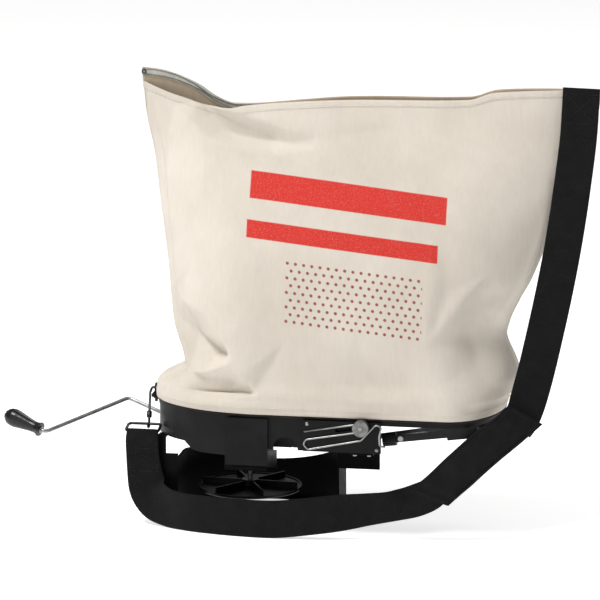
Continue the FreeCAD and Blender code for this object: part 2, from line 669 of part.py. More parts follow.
# ---------------------------------------------------------------- crank
def build_crank():
    """One bent rod: shaft, arm and handle pin, with a collar, a gear pin and the turning grip."""
    lean = math.radians(size("arm_lean"))
    roll = math.radians(size("arm_angle"))
    sideways = ACROSS * math.cos(roll) + UP_ACROSS * math.sin(roll)
    arm = ALONG * math.sin(lean) + sideways * math.cos(lean)
    elbow = on_crank(size("crank_length"))
    wrist = elbow + arm * size("arm_length")
    tip = wrist + ALONG * size("handle_length")
    start = on_crank(7.0)
    feature("crank_rod", pipe([start, elbow, wrist, tip], 8.0, size("rod_radius")))
    collar = Part.makeCylinder(5.0, 6.0, on_crank(46.4), ALONG)
    collar = collar.cut(Part.makeCylinder(size("rod_radius") + 0.01, 8.0, on_crank(45.4), ALONG))
    feature("crank_collar", collar)
    radius = size("grip_radius")
    bore = size("rod_radius") + FIT + 0.25
    profile = [(bore, 0), (9.0, 0), (9.4, 1.5), (8.0, 4), (7.2, 8), (7.8, 15), (9.6, 26), (radius, 37),
               (radius, 42), (10.4, 47), (8.2, 50.4), (5.3, 52), (bore, 52)]
    grip = revolved("Grip", profile)
    base = wrist + ALONG * 7.8
    grip.Placement = facing(base, ALONG)
    register(grip, "handle_grip")
    washer = Part.makeCylinder(5.2, 1.2, base + ALONG * 52.3, ALONG)
    washer = washer.cut(Part.makeCylinder(size("rod_radius") + 0.01, 4, base + ALONG * 50.5, ALONG))
    feature("grip_washer", washer)
    shoulder = Part.makeCylinder(4.6, 1.4, base - ALONG * 1.7, ALONG)
    shoulder = shoulder.cut(Part.makeCylinder(size("rod_radius") + 0.01, 6, base - ALONG * 4, ALONG))
    feature("grip_shoulder", shoulder)


build_crank()


# ---------------------------------------------------------------- rate plate and stop
STOP_TILT = math.radians(size("stop_angle"))
STOP_WAY = Vector(math.cos(STOP_TILT), 0, math.sin(STOP_TILT))
PLATE_BACK = FRONT - 0.2
PLATE_FRONT = PLATE_BACK - size("plate_thick")
STOP = Vector(size("stop_x"), PLATE_FRONT, size("stop_level"))


def slot_shape(centre, low, high, radius, depth):
    """Round-ended slot along the stop's way, pushed in +Y from the centre's plane."""
    across = Vector(-STOP_WAY.z, 0, STOP_WAY.x) * radius
    ends = [centre + STOP_WAY * low, centre + STOP_WAY * high]
    corners = [ends[0] + across, ends[1] + across, ends[1] - across, ends[0] - across]
    bar = Part.Face(Part.makePolygon(corners + corners[:1])).extrude(Vector(0, depth, 0))
    caps = [Part.makeCylinder(radius, depth, end, Vector(0, 1, 0)) for end in ends]
    return bar.fuse(caps)


def build_rate_stop():
    """Plate with the slanted slot, the clamp bolt that slides in it, its knob and the stop wire."""
    left = size("plate_left")
    right = size("plate_right")
    plate = prism([(left, PLATE_FRONT, 113), (right, PLATE_FRONT, 113), (right, PLATE_FRONT, 153),
                   (left, PLATE_FRONT, 153)], Vector(0, size("plate_thick"), 0))
    slot = slot_shape(STOP - Vector(0, 1, 0), -32, 8, 2.8, 10)
    recess = slot_shape(STOP + Vector(0, 2.4, 0), -32, 8, 5.4, 10)
    plate = plate.cut(slot).cut(recess)
    screws = []
    for x, z in ((left + 5, 148), (right - 5, 117.5)):
        plate = plate.cut(Part.makeCylinder(1.6, 20, Vector(x, PLATE_FRONT - 5, z), Vector(0, 1, 0)))
        stem = Part.makeCylinder(1.55, size("plate_thick") + 0.15, Vector(x, PLATE_FRONT, z), Vector(0, 1, 0))
        screws.append(stem.fuse(Part.makeSphere(2.9, Vector(x, PLATE_FRONT + 1.7, z)).common(
            solid_box((x - 4, PLATE_FRONT - 3, z - 4), (x + 4, PLATE_FRONT, z + 4)))))
    feature("rate_plate", plate)
    feature("rate_plate_screws", Part.makeCompound(screws))
    head = Part.makeCylinder(5.0, 2.2, STOP + Vector(0, 2.6, 0), Vector(0, 1, 0))
    stem = Part.makeCylinder(2.5, 15.6, STOP - Vector(0, 13, 0), Vector(0, 1, 0))
    feature("rate_bolt", head.fuse(stem))
    wire_y = PLATE_FRONT - size("wire_radius") - GAP / 3
    route = [(87.5, 138.5), (150.0, 149.5), (166.8, 151.0), (168.5, 142.0), (90.0, 128.3), (86.0, 122.5),
             (92.5, 115.5), (160.0, 129.5), (172.0, 143.0), (179.0, 150.5), (186.5, 148.5), (183.5, 135.5),
             (184.0, 123.5)]
    points = [(x, wire_y, z) for x, z in route]
    points.append((191.0, wire_y, 122.5))
    wire = pipe(points, 2.2, size("wire_radius"))
    wire = wire.cut(Part.makeCylinder(2.55, 30, STOP - Vector(0, 20, 0), Vector(0, 1, 0)))
    feature("rate_wire", wire)
    knob = rod("KnobRound", "Dimensions.knob_radius", 9.0, STOP - Vector(0, 2.9, 0), Vector(0, -1, 0))
    knob_hole = rod("KnobHole", 2.5 + FIT, 12.0, STOP - Vector(0, 1.9, 0), Vector(0, -1, 0))
    notches = []
    for index in range(24):
        angle = 2 * math.pi * index / 24
        reach = size("knob_radius") + 0.3
        spot = STOP + Vector(reach * math.cos(angle), -2, reach * math.sin(angle))
        notches.append(rod("KnobNotch%d" % index, 0.9, 12.0, spot, Vector(0, -1, 0)))
    tool = fuse("KnobTool", [knob_hole] + notches)
    register(cut("Knob", knob, tool), "rate_knob")


build_rate_stop()


# ---------------------------------------------------------------- shut-off gate and its lever
def build_gate():
    """Flat gate under the outlet with a rising tongue, and the two rails that carry it."""
    top = FUNNEL_BOTTOM - GAP
    thick = size("gate_thick")
    half = size("gate_width") / 2
    outlet = size("outlet_x")
    left = outlet - size("outlet_length") / 2 - 4
    right = outlet + size("outlet_length") / 2 + 8
    tongue_end = size("pivot_x")
    tongue_level = size("pivot_level") - 8.0
    plate = solid_box((left, -half, top - thick), (right, half, top))
    line = [(right - 2, top - thick), (right + 18, top - thick), (tongue_end - 70, tongue_level),
            (tongue_end + 9, tongue_level), (tongue_end + 9, tongue_level + thick),
            (tongue_end - 70.3, tongue_level + thick), (right + 17.7, top), (right - 2, top)]
    front = size("pivot_y") - size("pin_reach")
    narrow = [(x, front - 8, z) for x, z in line]
    tongue = prism(narrow, Vector(0, 24, 0))
    pin_room = solid_box((tongue_end - 4, front - 4, 90), (tongue_end + 4.4, front + 11, 150))
    feature("gate_slide", plate.fuse(tongue).cut(pin_room).removeSplitter())
    rails = []
    for side in (-1, 1):
        inner = side * (half + GAP)
        outer = side * (half + 6)
        lip = side * (half - 3)
        low = top - thick - GAP - 2
        end = right - 5
        wall = solid_box((left - 1, min(inner, outer), low), (end, max(inner, outer), FUNNEL_BOTTOM - 0.05))
        shelf = solid_box((left - 1, min(lip, outer), low), (end, max(lip, outer), low + 2))
        rails.append(wall.fuse(shelf))
    feature("gate_rails", Part.makeCompound(rails))


def on_lever(out, across, up):
    """Point in the lever's tilted plane: along it, across it and above it, from the pivot."""
    return LEVER_PIVOT + LEVER_OUT * out + Vector(0, across, 0) + LEVER_UP * up


def lever_block(low, high):
    """Box in the lever's own tilted axes."""
    box = solid_box(low, high)
    box.Placement = FreeCAD.Placement(LEVER_PIVOT, FreeCAD.Rotation(Vector(0, 1, 0), -size("lever_slope")))
    return box


def build_lever():
    """Bell-crank lever with a front flange, its handle bar, knurled grip, drive pin and pivot bolt."""
    thick = size("lever_thick")
    reach = size("pin_reach")
    bar_front = -size("bar_reach")
    plate = lever_block((-13, bar_front, -thick), (13, 14, 0))
    flange = lever_block((-36, bar_front, -5), (4, bar_front + 3, 9))
    bar = lever_block((-104, bar_front, -1.5), (-20, bar_front + 4, 7.5))
    hole = Part.makeCylinder(3.0 + FIT, 20, on_lever(0, 0, -10), LEVER_UP)
    lever = plate.fuse([flange, bar]).cut(hole)
    feature("gate_lever", lever.removeSplitter())
    pin = Part.makeCylinder(2.5, 10.0, on_lever(0, -reach, -thick - 10.0), LEVER_UP)
    feature("lever_drive_pin", pin)
    grip_up = 3.0
    grip = Part.makeCylinder(8.5, 17, on_lever(-118, bar_front + 2, grip_up), LEVER_OUT)
    for index in range(18):
        angle = 2 * math.pi * index / 18
        spot = on_lever(-119, bar_front + 2 + 8.9 * math.cos(angle), grip_up + 8.9 * math.sin(angle))
        grip = grip.cut(Part.makeCylinder(1.0, 19, spot, LEVER_OUT))
    bar_end = lever_block((-104.2, bar_front - 0.1, -1.6), (-90, bar_front + 4.1, 7.6))
    feature("lever_grip", grip.cut(bar_end))
    screw = Part.makeCylinder(3.4, 2.4, on_lever(-95, bar_front - 2.5, grip_up), Vector(0, 1, 0))
    feature("lever_grip_screw", screw)
    bolt = Part.makeCylinder(3.0, 9.0, on_lever(0, 0, -thick - 5.0), LEVER_UP)
    bolt = bolt.fuse(Part.makeCylinder(2.4, 9.0, on_lever(0, 0, 0), LEVER_UP))
    bolt = bolt.fuse(Part.makeCylinder(6.0, 3.4, on_lever(0, 0, -thick - 4.6), LEVER_UP))
    feature("lever_pivot_bolt", bolt)


build_gate()
build_lever()


# ---------------------------------------------------------------- strap and its hardware
def build_strap_hardware():
    """Eye bolt in the tray's ear, the hook link that hangs from it, and the rectangular ring."""
    ring = Part.makeTorus(5.0, 1.5, EYE, Vector(1, 0, 0))
    stem = Part.makeCylinder(2.0, EYE.z - EAR_LOW + 3, Vector(EYE.x, EYE.y, EAR_LOW - 7.4))
    collar = Part.makeCylinder(2.8, 1.6, Vector(EYE.x, EYE.y, EAR_TOP + 0.1))
    nut = Part.makeCylinder(3.8, 3.0, Vector(EYE.x, EYE.y, EAR_LOW - 3.2))
    feature("eye_bolt", ring.fuse([stem, collar, nut]))
    radius = size("link_radius")
    hook = [(EYE.x + 2.2, EYE.y, EYE.z), (EYE.x - 5.5, EYE.y, EYE.z), (EYE.x - 7.5, 4, 156),
            (-127, -22, 128), (-126.5, -25.2, 118.4), (-126.5, -31.6, 118.6), (-126.5, -32.6, 125.2)]
    upper = Vector(*hook[2])
    lower = Vector(*hook[3])
    along = (lower - upper).normalize()
    barrel = Part.makeCylinder(3.3, 9.0, lower - along * 11.0, along)
    feature("strap_link", pipe(hook, 1.95, radius).fuse(barrel))


def ring_wire(centre, half_width, depth, radius, tilt):
    """Closed rectangular wire ring, its long sides along X, tilted about X."""
    down = Vector(0, -math.cos(tilt), -math.sin(tilt))
    corner = 5.0
    side = Vector(half_width, 0, 0)
    corners = [centre - side, centre + side, centre + side + down * depth, centre - side + down * depth]
    edges = []
    count = len(corners)
    for index in range(count):
        here = corners[index]
        before = (corners[index - 1] - here).normalize()
        after = (corners[(index + 1) % count] - here).normalize()
        following = corners[(index + 1) % count]
        middle = here + (before + after) * corner * (1 - math.sqrt(0.5))
        edges.append(Part.Arc(here + before * corner, middle, here + after * corner).toShape())
        edges.append(Part.LineSegment(here + after * corner, following - after * corner).toShape())
    path = Part.Wire(edges)
    start = edges[1].Vertexes[0].Point
    heading = (corners[1] - corners[0]).normalize()
    section = Part.Wire(Part.makeCircle(radius, start, heading))
    path = Part.Wire(edges[1:] + edges[:1])
    return path.makePipeShell([section], True, False)


build_strap_hardware()
RING_BACK = Vector(-131.0, -28.4, 122.8)
feature("strap_ring", ring_wire(RING_BACK, 21.0, 23.0, 1.8, math.radians(12)))

WEB = size("web_width")
THICK = size("web_thick")
UPRIGHT = (0, 0, 1)
LOWER_STRAP = [
    # centre, width direction, width: from the ring down, round to the floor run, and up to the pad
    ((-130.0, -54.6, 114.8), (1, 0, 0), 41.0),
    ((-129.0, -55.0, 86.0), (1, 0, 0), 43.0),
    ((-125.5, -56.0, 62.0), (1, 0, 0.05), 47.0),
    ((-122.0, -59.0, 46.0), (0.86, 0, 0.5), 50.0),
    ((-113.0, -66.5, 34.0), (0.5, 0, 0.86), 52.0),
    ((-96.0, -77.0, 27.4), (0.15, 0, 1), 51.0),
    ((-70.0, -91.0, 25.3), UPRIGHT, WEB),
    ((-35.0, -101.0, 24.9), UPRIGHT, WEB),
    ((5.0, -108.0, 24.7), UPRIGHT, WEB),
    ((50.0, -111.0, 25.2), UPRIGHT, WEB),
    ((95.0, -110.0, 30.5), UPRIGHT, WEB),
    ((135.0, -106.0, 36.0), (-0.05, -0.10, 1), WEB),
    ((170.0, -101.0, 41.0), (-0.15, -0.30, 1), WEB - 2),
    ((203.0, -97.0, 46.0), (-0.35, -0.25, 1), WEB - 6),
    ((225.0, -94.0, 51.5), (-0.60, -0.05, 0.8), WEB - 5),
]
PAD = [
    ((233.0, -93.0, 48.2), (-0.652, 0, 0.758), 50.0),
    ((271.7, -93.0, 83.5), (-0.652, 0, 0.758), 50.0),
    ((310.4, -92.0, 118.8), (-0.652, 0, 0.758), 49.0),
    ((346.2, -84.0, 144.2), (-0.66, 0, 0.75), 48.0),
    ((359.4, -78.0, 157.7), (-0.73, 0, 0.68), 48.0),
]
UPPER = size("upper_width")
UPPER_STRAP = [
    ((361.0, -75.0, 162.0), (-0.76, 0, 0.65), UPPER),
    ((366.0, -66.0, 177.0), (-0.90, 0, 0.43), UPPER),
    ((371.0, -58.0, 197.0), (-0.95, 0, 0.31), UPPER),
    ((385.0, -40.0, 264.0), (-0.97, 0, 0.24), UPPER),
    ((403.5, -25.0, 366.0), (-0.98, 0, 0.20), UPPER),
    ((416.5, -25.0, 455.0), (-1, 0, 0.09), UPPER),
    ((423.0, -22.0, 515.0), (-1, 0, 0.03), UPPER),
    ((425.0, -13.0, 574.0), (-1, 0, 0.02), UPPER),
]
feature("lower_strap", ribbon(LOWER_STRAP, THICK))
feature("shoulder_pad", ribbon(PAD, size("pad_thick")))
feature("upper_strap", ribbon(UPPER_STRAP, THICK))


# ---------------------------------------------------------------- placing, checking and writing
def finish():
    """Move every sub-part into the assembly's frame, check it, and write it to its own file."""
    doc.recompute()
    to_frame = FreeCAD.Placement(Vector(-size("origin_x"), -size("origin_y"), 0), FreeCAD.Rotation())
    for obj in nodes:
        obj.Placement = to_frame.multiply(obj.Placement)
    doc.recompute()
    for obj in doc.Objects:
        if "Invalid" in obj.State or "Error" in obj.State:
            raise RuntimeError("%s could not be built: %s" % (obj.Label, obj.State))
    os.makedirs("parts", exist_ok=True)
    for obj in nodes:
        shape = obj.Shape
        if shape.isNull() or not shape.isValid():
            raise RuntimeError("%s has no valid shape" % obj.Label)
        shape.exportStep("parts/%s.step" % obj.Label)
    whole = Part.makeCompound([obj.Shape for obj in nodes]).BoundBox
    print("%d sub-parts, %.1f x %.1f x %.1f mm, centre %.2f %.2f" % (
        len(nodes), whole.XLength, whole.YLength, whole.ZLength, whole.Center.x, whole.Center.y))


finish()
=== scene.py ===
"""Looks of the bag spreader: canvas bag, webbing, pad, zip and materials round the CAD frame.

Shapes are laid out in millimetres from the impeller's axis at floor height, with +X along the tray
towards the strap end, +Y towards the wearer and +Z up. place() turns that into the frame's metres.
"""

import json
import math

import bpy
import numpy as np
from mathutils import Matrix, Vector, geometry, noise


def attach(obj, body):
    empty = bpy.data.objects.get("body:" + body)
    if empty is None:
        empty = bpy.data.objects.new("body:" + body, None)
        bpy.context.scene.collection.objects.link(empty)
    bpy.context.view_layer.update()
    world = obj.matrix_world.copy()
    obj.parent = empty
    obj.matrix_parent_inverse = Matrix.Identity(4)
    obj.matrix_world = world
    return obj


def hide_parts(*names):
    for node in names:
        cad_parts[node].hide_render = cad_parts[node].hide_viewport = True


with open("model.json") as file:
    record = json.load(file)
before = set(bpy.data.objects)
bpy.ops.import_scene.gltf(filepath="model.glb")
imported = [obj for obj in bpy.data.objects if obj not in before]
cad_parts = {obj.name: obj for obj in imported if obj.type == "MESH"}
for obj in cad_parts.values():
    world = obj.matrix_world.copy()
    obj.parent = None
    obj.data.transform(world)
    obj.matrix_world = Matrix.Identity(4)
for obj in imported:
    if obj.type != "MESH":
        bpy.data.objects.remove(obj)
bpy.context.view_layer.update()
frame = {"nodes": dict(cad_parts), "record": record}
nodes = frame["nodes"]

MM = 0.001
AXIS = np.array((-66.24, 2.55, 0.0))     # the impeller's axis in the frame, in millimetres


def place(points):
    """Points in millimetres from the impeller's axis, as metres in the frame."""
    return (np.asarray(points, float) + AXIS) * MM


# ---------------------------------------------------------------- camera, floor and light
TARGET = Vector(place((64.5, 0.0, 285.5)))
AZIMUTH = math.radians(10.0)
ELEVATION = math.radians(12.5)
DISTANCE = 10.0
VIEW_WIDTH = 0.762
FAR_CLIP = 100
WORLD_STRENGTH = 0.30
LIGHTS = (
    # name, offset from the target, size, power, colour
    ("key", (-1.1, -1.0, 2.5), 0.8, 78, (1.0, 0.99, 0.975)),
    ("fill", (-1.6, -2.4, 0.8), 1.8, 9, (0.98, 0.99, 1.0)),
    ("rim", (0.4, 2.0, 1.9), 1.4, 20, (1.0, 1.0, 1.0)),
)
FLOOR_REACH = 30
FLOOR_ROUGH = 0.8
FLOOR_TONE = 0.80
FLOOR_GLOW = 0.62


def set_camera():
    """Camera at the photograph's viewing angle, with a long lens."""
    data = bpy.data.cameras.new("camera")
    camera = bpy.data.objects.new("camera", data)
    bpy.context.scene.collection.objects.link(camera)
    back = Vector((math.sin(AZIMUTH) * math.cos(ELEVATION),
                   -math.cos(AZIMUTH) * math.cos(ELEVATION), math.sin(ELEVATION)))
    camera.location = TARGET + back * DISTANCE
    camera.rotation_euler = (-back).to_track_quat("-Z", "Y").to_euler()
    data.lens = data.sensor_width * DISTANCE / VIEW_WIDTH
    data.clip_end = FAR_CLIP
    bpy.context.scene.camera = camera


def area_light(name, offset, size, power, colour):
    """Square soft light that faces the object."""
    data = bpy.data.lights.new(name, "AREA")
    data.size = size
    data.energy = power
    data.color = colour
    lamp = bpy.data.objects.new(name, data)
    bpy.context.scene.collection.objects.link(lamp)
    lamp.location = TARGET + Vector(offset)
    lamp.rotation_euler = Vector(offset).to_track_quat("Z", "Y").to_euler()


def set_studio():
    """World light and three soft lights."""
    scene = bpy.context.scene
    scene.view_settings.view_transform = "Standard"
    world = bpy.data.worlds.new("studio")
    world.use_nodes = True
    background = world.node_tree.nodes["Background"]
    background.inputs["Color"].default_value = (1, 1, 1, 1)
    background.inputs["Strength"].default_value = WORLD_STRENGTH
    scene.world = world
    for light in LIGHTS:
        area_light(*light)


# ---------------------------------------------------------------- materials
class Look:
    """A material with the few kinds of node that every material here is made of."""

    def __init__(self, name, rough, metal=0.0, **constants):
        self.material = bpy.data.materials.new(name)
        self.material.use_nodes = True
        self.tree = self.material.node_tree
        self.shader = self.tree.nodes["Principled BSDF"]
        self.normal = None
        self.shader.inputs["Roughness"].default_value = rough
        self.shader.inputs["Metallic"].default_value = metal
        for socket, value in constants.items():
            self.shader.inputs[socket.replace("_", " ")].default_value = value

    def add(self, kind, links=(), **settings):
        """A node of this kind, with sockets and properties set by name and links by input."""
        node = self.tree.nodes.new("ShaderNode" + kind)
        for key, value in settings.items():
            if hasattr(node, key):
                setattr(node, key, value)
            else:
                node.inputs[key.replace("_", " ")].default_value = value
        for socket, source in dict(links).items():
            self.tree.links.new(source, node.inputs[socket])
        return node

    def where(self, scale=(1, 1, 1)):
        """The object's coordinates in metres, stretched by scale."""
        coordinates = self.add("TexCoord")
        mapping = self.add("Mapping", {"Vector": coordinates.outputs["Object"]})
        mapping.inputs["Scale"].default_value = scale
        return mapping.outputs["Vector"]

    def noise(self, scale, detail, stretch=(1, 1, 1)):
        """Noise with about scale bumps to the metre."""
        return self.add("TexNoise", {"Vector": self.where(stretch)},
                        Scale=scale, Detail=detail).outputs["Fac"]

    def math(self, operation, first, second=0.0):
        """Result of one operation on two numbers or sockets."""
        node = self.add("Math", operation=operation)
        for index, value in enumerate((first, second)):
            if isinstance(value, (int, float)):
                node.inputs[index].default_value = value
            else:
                self.tree.links.new(value, node.inputs[index])
        return node.outputs[0]

    def between(self, factor, low, high, start, end):
        """Runs from low to high as factor goes from start to end. Low and high are colours."""
        return self.mix(self.ramp(factor, start, end), low, high)

    def ramp(self, value, start, end, low=0.0, high=1.0):
        """Runs from low to high as value goes from start to end, and stays there beyond them."""
        node = self.add("MapRange", {"Value": value}, clamp=True)
        for socket, number in zip(("From Min", "From Max", "To Min", "To Max"),
                                  (start, end, low, high)):
            node.inputs[socket].default_value = number
        return node.outputs["Result"]

    def mix(self, factor, low, high):
        """Colour between two colours or colour sockets."""
        node = self.add("Mix", data_type="RGBA")
        self.tree.links.new(factor, node.inputs[0])
        for index, value in ((6, low), (7, high)):
            if isinstance(value, tuple):
                node.inputs[index].default_value = (*value, 1)
            else:
                self.tree.links.new(value, node.inputs[index])
        return node.outputs[2]

    def colour(self, source):
        """Links the base colour."""
        self.tree.links.new(source, self.shader.inputs["Base Color"])

    def rough(self, factor, low, high):
        """Roughness that runs from low to high with factor."""
        self.tree.links.new(self.ramp(factor, 0.0, 1.0, low, high), self.shader.inputs["Roughness"])

    def bump(self, height, depth, strength=1.0):
        """Adds relief of this depth, in metres, on top of the relief so far."""
        node = self.add("Bump", {"Height": height}, Distance=depth, Strength=strength)
        if self.normal is not None:
            self.tree.links.new(self.normal, node.inputs["Normal"])
        self.normal = node.outputs["Normal"]
        self.tree.links.new(self.normal, self.shader.inputs["Normal"])


def threads(look, pitch_long, pitch_across, slant=0.0):
    """Height of a plain weave on the piece's own UV map, which is in metres."""
    uv = look.add("TexCoord").outputs["UV"]
    axes = look.add("SeparateXYZ", {"Vector": uv})
    along = look.math("MULTIPLY", axes.outputs["X"], 2 * math.pi / pitch_long)
    across = look.math("MULTIPLY", axes.outputs["Y"], 2 * math.pi / pitch_across)
    along = look.math("ADD", along, look.math("MULTIPLY", across, slant))
    return look.math("MULTIPLY", look.math("SINE", along), look.math("SINE", across))


def moulded(name, dark, pale, rough, shine):
    """Moulded plastic: fine grain, uneven gloss and slight dust."""
    look = Look(name, rough, Specular_IOR_Level=shine)
    patches = look.noise(28, 5)
    look.colour(look.between(patches, dark, pale, 0.42, 0.75))
    look.rough(look.noise(60, 6), rough - 0.1, rough + 0.14)
    look.bump(look.noise(2600, 2), 0.00005)
    look.bump(look.noise(45, 2), 0.0006, 0.5)
    return look.material


def metal(name, dark, pale, rough):
    """Plated metal: a cloudy plating, a fine grain and a few duller patches."""
    look = Look(name, rough, 1.0)
    look.colour(look.between(look.noise(90, 6), dark, pale, 0.3, 0.7))
    look.rough(look.noise(160, 5), rough - 0.08, rough + 0.18)
    look.bump(look.noise(1800, 3), 0.00004)
    return look.material


def woven(name, dark, pale, pitch_long, pitch_across, depth, slant):
    """Synthetic webbing or pack cloth: woven relief, sheen and lighter rubbed threads."""
    look = Look(name, 0.72, Sheen_Weight=0.03, Sheen_Roughness=0.4, Specular_IOR_Level=0.16)
    weave = threads(look, pitch_long, pitch_across, slant)
    worn = look.noise(70, 6)
    tone = look.math("ADD", look.math("MULTIPLY", weave, 0.18), worn)
    look.colour(look.between(tone, dark, pale, 0.35, 0.85))
    look.bump(weave, depth)
    look.bump(look.noise(900, 3), 0.00012, 0.6)
    return look.material


PRINT_RED = (0.60, 0.030, 0.020)
PRINT_BROWN = (0.30, 0.075, 0.055)
PRINT_SLOPE = math.radians(-5.6)
PRINT_SHIFT = -0.0098       # where the print's own lengths start, along the frame's x
THIN_INK = 0.72             # cover of the ink where it is thinnest
PRINT_BARS = (
    # left, right, low and high edges along the sloping print, in metres
    (-0.047, 0.205, 0.4225, 0.4555),
    (-0.049, 0.196, 0.3745, 0.3965),
)
DOT_FIELD = (0.002, 0.178, 0.272, 0.352)
DOT_PITCH = 0.0105
DOT_ROW = DOT_PITCH * 0.866
DOT_RADIUS = 0.0020


def within(look, value, low, high, soft=0.0006):
    """1 between low and high and 0 outside, with a slightly soft edge."""
    return look.math("MULTIPLY", look.ramp(value, low - soft, low + soft),
                     look.ramp(value, high + soft, high - soft))


def print_masks(look):
    """Masks of the plain bars and of the grid of dots on the front of the bag."""
    axes = look.add("SeparateXYZ", {"Vector": look.where()})
    along = look.math("SUBTRACT", axes.outputs["X"], PRINT_SHIFT)
    slope = look.math("MULTIPLY", along, math.tan(PRINT_SLOPE))
    lift = look.math("SUBTRACT", axes.outputs["Z"], slope)
    front = look.math("LESS_THAN", axes.outputs["Y"], 0.0)
    bars = 0.0
    for left, right, low, high in PRINT_BARS:
        bar = look.math("MULTIPLY", within(look, along, left, right),
                        within(look, lift, low, high))
        bars = look.math("MAXIMUM", bars, bar)
    row = look.math("DIVIDE", lift, DOT_ROW)
    odd = look.math("MULTIPLY", look.math("MODULO", look.math("FLOOR", row), 2.0), 0.5)
    column = look.math("ADD", look.math("DIVIDE", along, DOT_PITCH), odd)
    squares = []
    for number, pitch in ((column, DOT_PITCH), (row, DOT_ROW)):
        off = look.math("SUBTRACT", look.math("FRACT", number), 0.5)
        off = look.math("ABSOLUTE", look.math("MULTIPLY", off, pitch))
        squares.append(look.math("POWER", off, 2.0))
    away = look.math("SQRT", look.math("ADD", *squares))
    dots = within(look, away, -1.0, DOT_RADIUS, 0.0004)
    left, right, low, high = DOT_FIELD
    dots = look.math("MULTIPLY", dots, within(look, along, left, right))
    dots = look.math("MULTIPLY", dots, within(look, lift, low, high))
    return look.math("MULTIPLY", bars, front), look.math("MULTIPLY", dots, front)


def canvas(name, dark, pale, printed):
    """Undyed cotton duck: plain weave, slubs, faint stains, and the print where asked."""
    look = Look(name, 0.86, Sheen_Weight=0.12, Sheen_Roughness=0.6, Specular_IOR_Level=0.2)
    weave = threads(look, 0.0013, 0.0013)
    slub = look.noise(260, 4, (1, 1, 0.15))
    stain = look.noise(9, 5)
    tone = look.math("ADD", look.math("MULTIPLY", slub, 0.22), look.math("MULTIPLY", stain, 0.78))
    tone = look.math("ADD", tone, look.math("MULTIPLY", weave, 0.03))
    cloth = look.between(tone, dark, pale, 0.30, 0.66)
    if printed:
        bars, dots = print_masks(look)
        cover = look.ramp(look.noise(900, 3), 0.25, 0.45, THIN_INK)
        cloth = look.mix(look.math("MULTIPLY", dots, cover), cloth, PRINT_BROWN)
        cloth = look.mix(look.math("MULTIPLY", bars, cover), cloth, PRINT_RED)
    look.colour(cloth)
    look.bump(weave, 0.00012)
    look.bump(slub, 0.00016, 0.6)
    look.bump(look.noise(55, 4), 0.0014, 0.30)
    return look.material


MOULDED = {
    # dark and pale colour, roughness, shine
    "tray_plastic": ((0.0022, 0.0022, 0.0024), (0.0060, 0.0060, 0.0064), 0.42, 0.16),
    "housing_plastic": ((0.0024, 0.0024, 0.0026), (0.0066, 0.0066, 0.0070), 0.46, 0.16),
    "guard_plastic": ((0.0018, 0.0018, 0.0019), (0.0048, 0.0048, 0.0050), 0.56, 0.06),
    "impeller_plastic": ((0.0024, 0.0024, 0.0025), (0.0068, 0.0068, 0.0070), 0.34, 0.26),
    "lever_black": ((0.0024, 0.0024, 0.0025), (0.0066, 0.0066, 0.0068), 0.34, 0.24),
    "knurl_black": ((0.0040, 0.0040, 0.0040), (0.0120, 0.0120, 0.0120), 0.40, 0.22),
    "grip_plastic": ((0.0022, 0.0022, 0.0022), (0.0062, 0.0062, 0.0062), 0.26, 0.40),
    "gear_nylon": ((0.55, 0.53, 0.47), (0.70, 0.68, 0.62), 0.45, 0.16),
}
METALS = {
    # dark and pale colour, roughness
    "gate_steel": ((0.24, 0.24, 0.245), (0.36, 0.36, 0.37), 0.40),
    "rod_steel": ((0.22, 0.22, 0.22), (0.36, 0.36, 0.355), 0.34),
    "screw_steel": ((0.26, 0.26, 0.255), (0.40, 0.40, 0.39), 0.36),
    "hook_steel": ((0.030, 0.030, 0.032), (0.07, 0.07, 0.073), 0.38),
    "knob_metal": ((0.085, 0.085, 0.085), (0.26, 0.26, 0.255), 0.40),
    "zip_metal": ((0.24, 0.235, 0.22), (0.38, 0.37, 0.35), 0.38),
}
WOVEN = {
    # dark and pale colour, pitch along and across, depth and slant of the weave
    "hem_binding": ((0.012, 0.008, 0.006), (0.035, 0.024, 0.018), 0.0012, 0.0012, 0.0001, 0.0),
    "zip_tape": ((0.48, 0.47, 0.42), (0.64, 0.62, 0.56), 0.0011, 0.0011, 0.0001, 0.0),
    "zip_coil": ((0.15, 0.15, 0.14), (0.28, 0.27, 0.25), 0.0012, 0.0012, 0.0001, 0.0),
    "webbing": ((0.0016, 0.0016, 0.0017), (0.0058, 0.0058, 0.0061), 0.0024, 0.0030, 0.00035, 0.5),
    "pad_fabric": ((0.0020, 0.0020, 0.0021), (0.0072, 0.0072, 0.0075), 0.0016, 0.0016, 0.00022,
                   0.0),
    "thread": ((0.62, 0.57, 0.48), (0.80, 0.75, 0.66), 0.0008, 0.0008, 0.00005, 0.0),
    "thread_black": ((0.010, 0.010, 0.010), (0.030, 0.030, 0.030), 0.0008, 0.0008, 0.00005, 0.0),
}
MATERIALS = {
    "canvas": canvas("canvas", (0.57, 0.515, 0.44), (0.68, 0.625, 0.55), True),
    # The inside faces are the same cloth, coloured darker and browner as painted shade inside the
    # bag.
    "canvas_inside_painted_shade": canvas("canvas_inside_painted_shade", (0.42, 0.335, 0.235), (0.56, 0.46, 0.34), False),
}
for make, table in ((moulded, MOULDED), (woven, WOVEN), (metal, METALS)):
    for name, values in table.items():
        MATERIALS[name] = make(name, *values)


def dress_nodes():
    """Gives every CAD node the material of its slot."""
    slot_of = {entry["node"]: entry["material_slot"] for entry in frame["record"]["subparts"]}
    for name, node in nodes.items():
        node.data.materials.clear()
        node.data.materials.append(MATERIALS[slot_of[name]])


